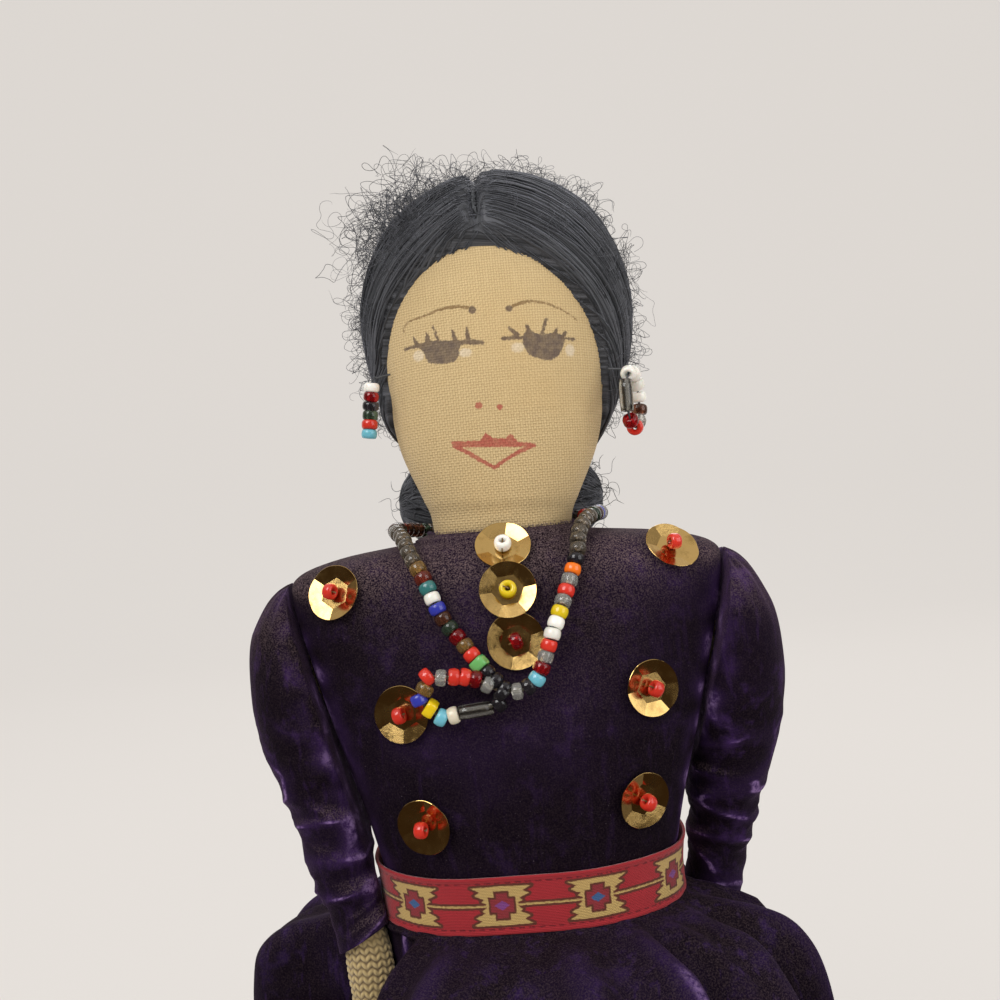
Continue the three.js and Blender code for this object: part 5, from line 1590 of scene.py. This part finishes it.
# Two plies that wind round each other along a line.
def twistedYarn(line, radius, pitch):
    line = np.asarray(line, float)
    tangent = unit(np.gradient(line, axis=0))
    first = unit(np.cross(tangent, np.where(np.abs(tangent[:, :1]) > 0.8, (0.0, 0, 1), (1.0, 0, 0))))
    second = np.cross(tangent, first)
    length = lengthAlong(line)
    plies = []
    for phase in (0, math.pi):
        turn = length / pitch * 2 * math.pi + phase
        plies.append(line + radius * (np.cos(turn)[:, None] * first + np.sin(turn)[:, None] * second))
    return plies


def makeTie(b):
    t = np.linspace(0, 1, 420)
    turn = t * b["turns"] * 2 * math.pi - math.pi / 2
    wound = aroundBun((t - 0.5) * b["tieWidth"], turn, b["tieRadius"])
    tail, _ = smoothPath([wound[-1] + step for step in b["tail"]], closed=False)
    plies = [leanHead(ply) for part in (wound, tail) for ply in twistedYarn(part, b["yarn"] * 0.95, 2.6)]
    piece = addStrands("bunTieYarn", plies, [b["yarn"]] * 4, yarn, sides=8, taper=False)
    joinTo("bun_tie", "head_and_hair", "yarn", piece)


def makePartStitch():
    heights = np.linspace(250.6, 243.6, 24)
    rays = np.stack([-partShift(heights), -np.full(24, 14.0), heights - hairMiddle[2]], 1)
    placed, _ = hairSurface(rays)
    line = placed + unit(placed - hairMiddle) * 0.55
    for end, sunk in ((0, 1.6), (-1, 1.4)):
        line[end] -= unit(line[end] - hairMiddle) * sunk
    plies = [leanHead(ply) for ply in twistedYarn(line, 0.2, 1.6)]
    piece = addStrands("partStitchYarn", plies, [0.24, 0.24], stitchYarn, sides=8, taper=False)
    joinTo("part_stitch", "head_and_hair", "yarn", piece)


yarn = makeThread("whiteYarn", bun["white"])
makeBun(bun)
makeTie(bun)
makePartStitch()
print("bun made")


# Legs and feet
# Leg rows of height and radius; moccasin rows of height, half width, half length and forward shift.
leg = {
    "spacing": 12.5, "columns": 96, "wrapRows": 130,
    "rows": [(17.3, 6.1), (44, 7.1), (69.8, 8.6), (82, 9.3), (87.4, 9.3), (91, 7.2), (93.2, 2)],
    "wrapTop": 44, "wrapBottom": 17.4, "wrapPitch": 5.6, "wrapThickness": 1.15, "wrapStep": 0.45,
    "wrapCloth": (226, 218, 198), "wrapShade": (196, 186, 164),
    "suede": (134, 84, 48), "suedeWorn": (164, 112, 70), "sole": (198, 166, 118), "sinew": (214, 196, 156),
    "stitches": 46, "stitchSpread": 2.1,
}
moccasin = [(4.5, 6.4, 12.2, 6), (5.6, 6.95, 12.6, 6), (7.7, 7.1, 12.5, 6), (10.7, 6.7, 10.1, 3.8),
            (13.7, 6.5, 7.8, 1.3), (16.9, 6.9, 7.1, 0.1)]


def makeLegging(name, cloth, shade):
    material, nodes, inputs = newMaterial(name, **{"Sheen Weight": 0.15, "Roughness": 0.9})
    weave = placeGroup(nodes, weaveGroup, Vector=nodes.place(), Threads=1.5, Slub=0.5)
    colour = nodes.mix(nodes.spread(weave["Tint"], 0.2, 0.9), linear(*shade), linear(*cloth))
    edge = nodes.value("wrapEdge")
    nodes.link(nodes.mix(nodes.times(edge, 0.6), colour, linear(*[v * 0.6 for v in shade])),
               inputs["Base Color"])
    nodes.link(nodes.bump(weave["Height"], 0.5, 0.0002), inputs["Normal"])
    return material


def makeSuede(name, cloth, wornAndTopLit):
    material, nodes, inputs = newMaterial(name, **{"Sheen Weight": 0.2, "Sheen Roughness": 0.5,
                                                   "Roughness": 0.93, "Specular IOR Level": 0.15})
    nap = nodes.noise(nodes.place(), 2600, 4, 0.7)
    patch = nodes.noise(nodes.place(), 160, 4, 0.6)
    colour = nodes.mix(nodes.spread(patch, 0.35, 0.7), linear(*cloth), linear(*wornAndTopLit))
    nodes.link(nodes.mix(nodes.spread(nap, 0.4, 0.7, 0, 0.35), colour, linear(*[v * 0.7 for v in cloth])),
               inputs["Base Color"])
    nodes.link(nodes.bump(nap, 0.4, 0.0002), inputs["Normal"])
    return material


def makeLeg(side, s):
    name, rides = sideName(side), sideName(side) + "_leg_and_foot"
    angles = fullTurn(s["columns"])
    place = np.array((side * s["spacing"], 0, 0))
    ring = levelRing(np.cos(angles), np.sin(angles), 0)
    lean = 0.12 * noiseAt(ring * 9, (0.2, 0.2, 0.2), side)
    rings = [place + ring * (float(alongTable(s["rows"], z, 1)) + lean[:, None]) + (0, 0, z)
             for z in np.linspace(17.4, 93.2, 90)]
    points, faces = closedLoft(rings)
    stuffed = addObject(name + "StuffedLeg", points, faces, muslin)
    joinTo(name + "_leg", rides, "muslin", stuffed)

    top, bottom = s["wrapTop"], s["wrapBottom"]
    heights = np.r_[top - 2.5, top - 0.5, np.linspace(top, bottom, s["wrapRows"]), bottom + 0.3, bottom + 2.5]
    rings, edges = [], []
    for number, z in enumerate(heights):
        inside = number < 2 or number >= 2 + s["wrapRows"]  # turned in at both ends
        wound = (z / s["wrapPitch"] + side * angles / (2 * math.pi)) % 1
        step = s["wrapStep"] * (1 - wound) * smoothStep(0, 0.09, wound) * (not inside)
        crumple = 0.16 * np.sin(angles * 3 + z) * (not inside)
        thick = 0.35 if inside else s["wrapThickness"]
        radius = float(alongTable(s["rows"], z, 1)) + thick + step + crumple
        rings.append(place + ring * radius[:, None] + (0, 0, z))
        edges.append(np.exp(-(np.minimum(wound, 1 - wound) / 0.035) ** 2) * (not inside))
    faces = gridFaces(len(rings), s["columns"], flip=True)
    wrapped = addObject(name + "WrappedLegging", np.concatenate(rings), faces, leggingCloth)
    addValues(wrapped, "wrapEdge", np.concatenate(edges))
    joinTo(name + "_legging", rides, "legging", wrapped)
    return wrapped


def footRing(angles, z, grow):
    x, y = outlineAt(moccasin, angles, z, grow, 2.2)
    return x, y - float(alongTable(moccasin, z, 3))


def makeMoccasin(side, s):
    angles = fullTurn(120)
    name, rides, across = sideName(side), sideName(side) + "_leg_and_foot", side * s["spacing"]
    forward = np.maximum(-np.sin(angles), 0)
    rings = []
    for z in np.linspace(4.5, 16.9, 60):
        pucker = 0.22 * np.sin(angles * 22) * forward * math.exp(-((z - 7.2) / 1.6) ** 2)
        x, y = footRing(angles, z, 0)
        spread = 1 + (pucker - 0.35 * math.exp(-((z - 8.4) / 0.35) ** 2) * forward) / 8
        rings.append(levelRing(x * spread + across, y * spread, z))
    x, y = footRing(angles, 16.9, -1.1)
    rings.append(levelRing(x + across, y, 16.9))
    rings.append(rings[-1] - (0, 0, 1.5))
    points, faces = closedLoft(rings)
    upper = addObject(name + "MoccasinUpper", points, faces, suede)
    paths = []
    halfCount = (s["stitches"] - 1) / 2
    for number in range(s["stitches"]):
        angle = -math.pi / 2 + (number - halfCount) / halfCount * s["stitchSpread"]
        x, y = footRing(np.array([angle - 0.022, angle + 0.022]), 8.4, 0.05)
        paths.append(np.array([(x[0] + across, y[0], 8.0), (x.mean() * 1.015 + across, y.mean(), 8.4),
                               (x[1] + across, y[1], 8.9)]))
    stitches = addStrands(name + "MoccasinStitches", paths, [0.17] * len(paths), sinewThread, sides=6)
    joinTo(name + "_moccasin", rides, "suede", upper, stitches)
    rings = []
    for z, grow in ((3.0, -0.35), (3.15, 0.05), (3.5, 0.25), (4.0, 0.25), (4.35, 0.1), (4.4, -0.2)):
        x, y = footRing(angles, 5.6, grow)
        rings.append(levelRing(x + across, y, z))
    points, faces = closedLoft(rings)
    sole = addObject(name + "MoccasinSole", points, faces, soleHide)
    joinTo(name + "_moccasin_sole", rides, "suede", sole)


leggingCloth = makeLegging("leggingCloth", leg["wrapCloth"], leg["wrapShade"])
suede = makeSuede("brownSuede", leg["suede"], leg["suedeWorn"])
soleHide = makeSuede("soleHide", leg["sole"], tuple(v * 0.85 for v in leg["sole"]))
sinewThread = makeThread("sinewThread", leg["sinew"])
leggings = {side: makeLeg(side, leg) for side in (1, -1)}
for side in (1, -1):
    makeMoccasin(side, leg)
print("legs and feet made")


# Short pile fibres along the cut edges of the velvet
fuzz = {"collar": 900, "wrist": 420, "colour": (88, 68, 92)}


def addFuzz(name, roots, up, count, seed, node, rides):
    rng = np.random.default_rng(seed)
    paths, radii = [], []
    for _ in range(count):
        at = rng.integers(len(roots))
        start = roots[at] + rng.normal(0, 0.12, 3)
        way = unit((0, 0, up) + rng.normal(0, 0.45, 3)) * rng.uniform(0.25, 0.6)
        sag = rng.normal(0, 0.08, 3)
        paths.append(np.array([start - way * 0.4, start + way * 0.5 + sag, start + way]))
        radii.append(rng.uniform(0.025, 0.05))
    piece = addStrands(name, paths, radii, pileFibre, sides=3)
    joinTo(node, rides, "velvet", piece)


def edgeOf(piece, first, count):
    return np.array([piece.data.vertices[i].co for i in range(first, first + count)]) / mm


pileFibre = makeThread("pileFibre", fuzz["colour"])
collarStart = len(velvetBlouse.data.vertices) - 3 * blouse["columns"]
collarEdge = edgeOf(velvetBlouse, collarStart, blouse["columns"])
addFuzz("collarFuzz", collarEdge, 1, fuzz["collar"], 81, "blouse_body", "body")
for side in (1, -1):
    hemEdge = edgeOf(sleeves[side], 2 * sleeve["columns"], sleeve["columns"])
    addFuzz(sideName(side) + "SleeveFuzz", hemEdge, -1, fuzz["wrist"], 83 + side,
            sideName(side) + "_sleeve", sideName(side) + "_arm_and_sleeve")
print("fuzz made")
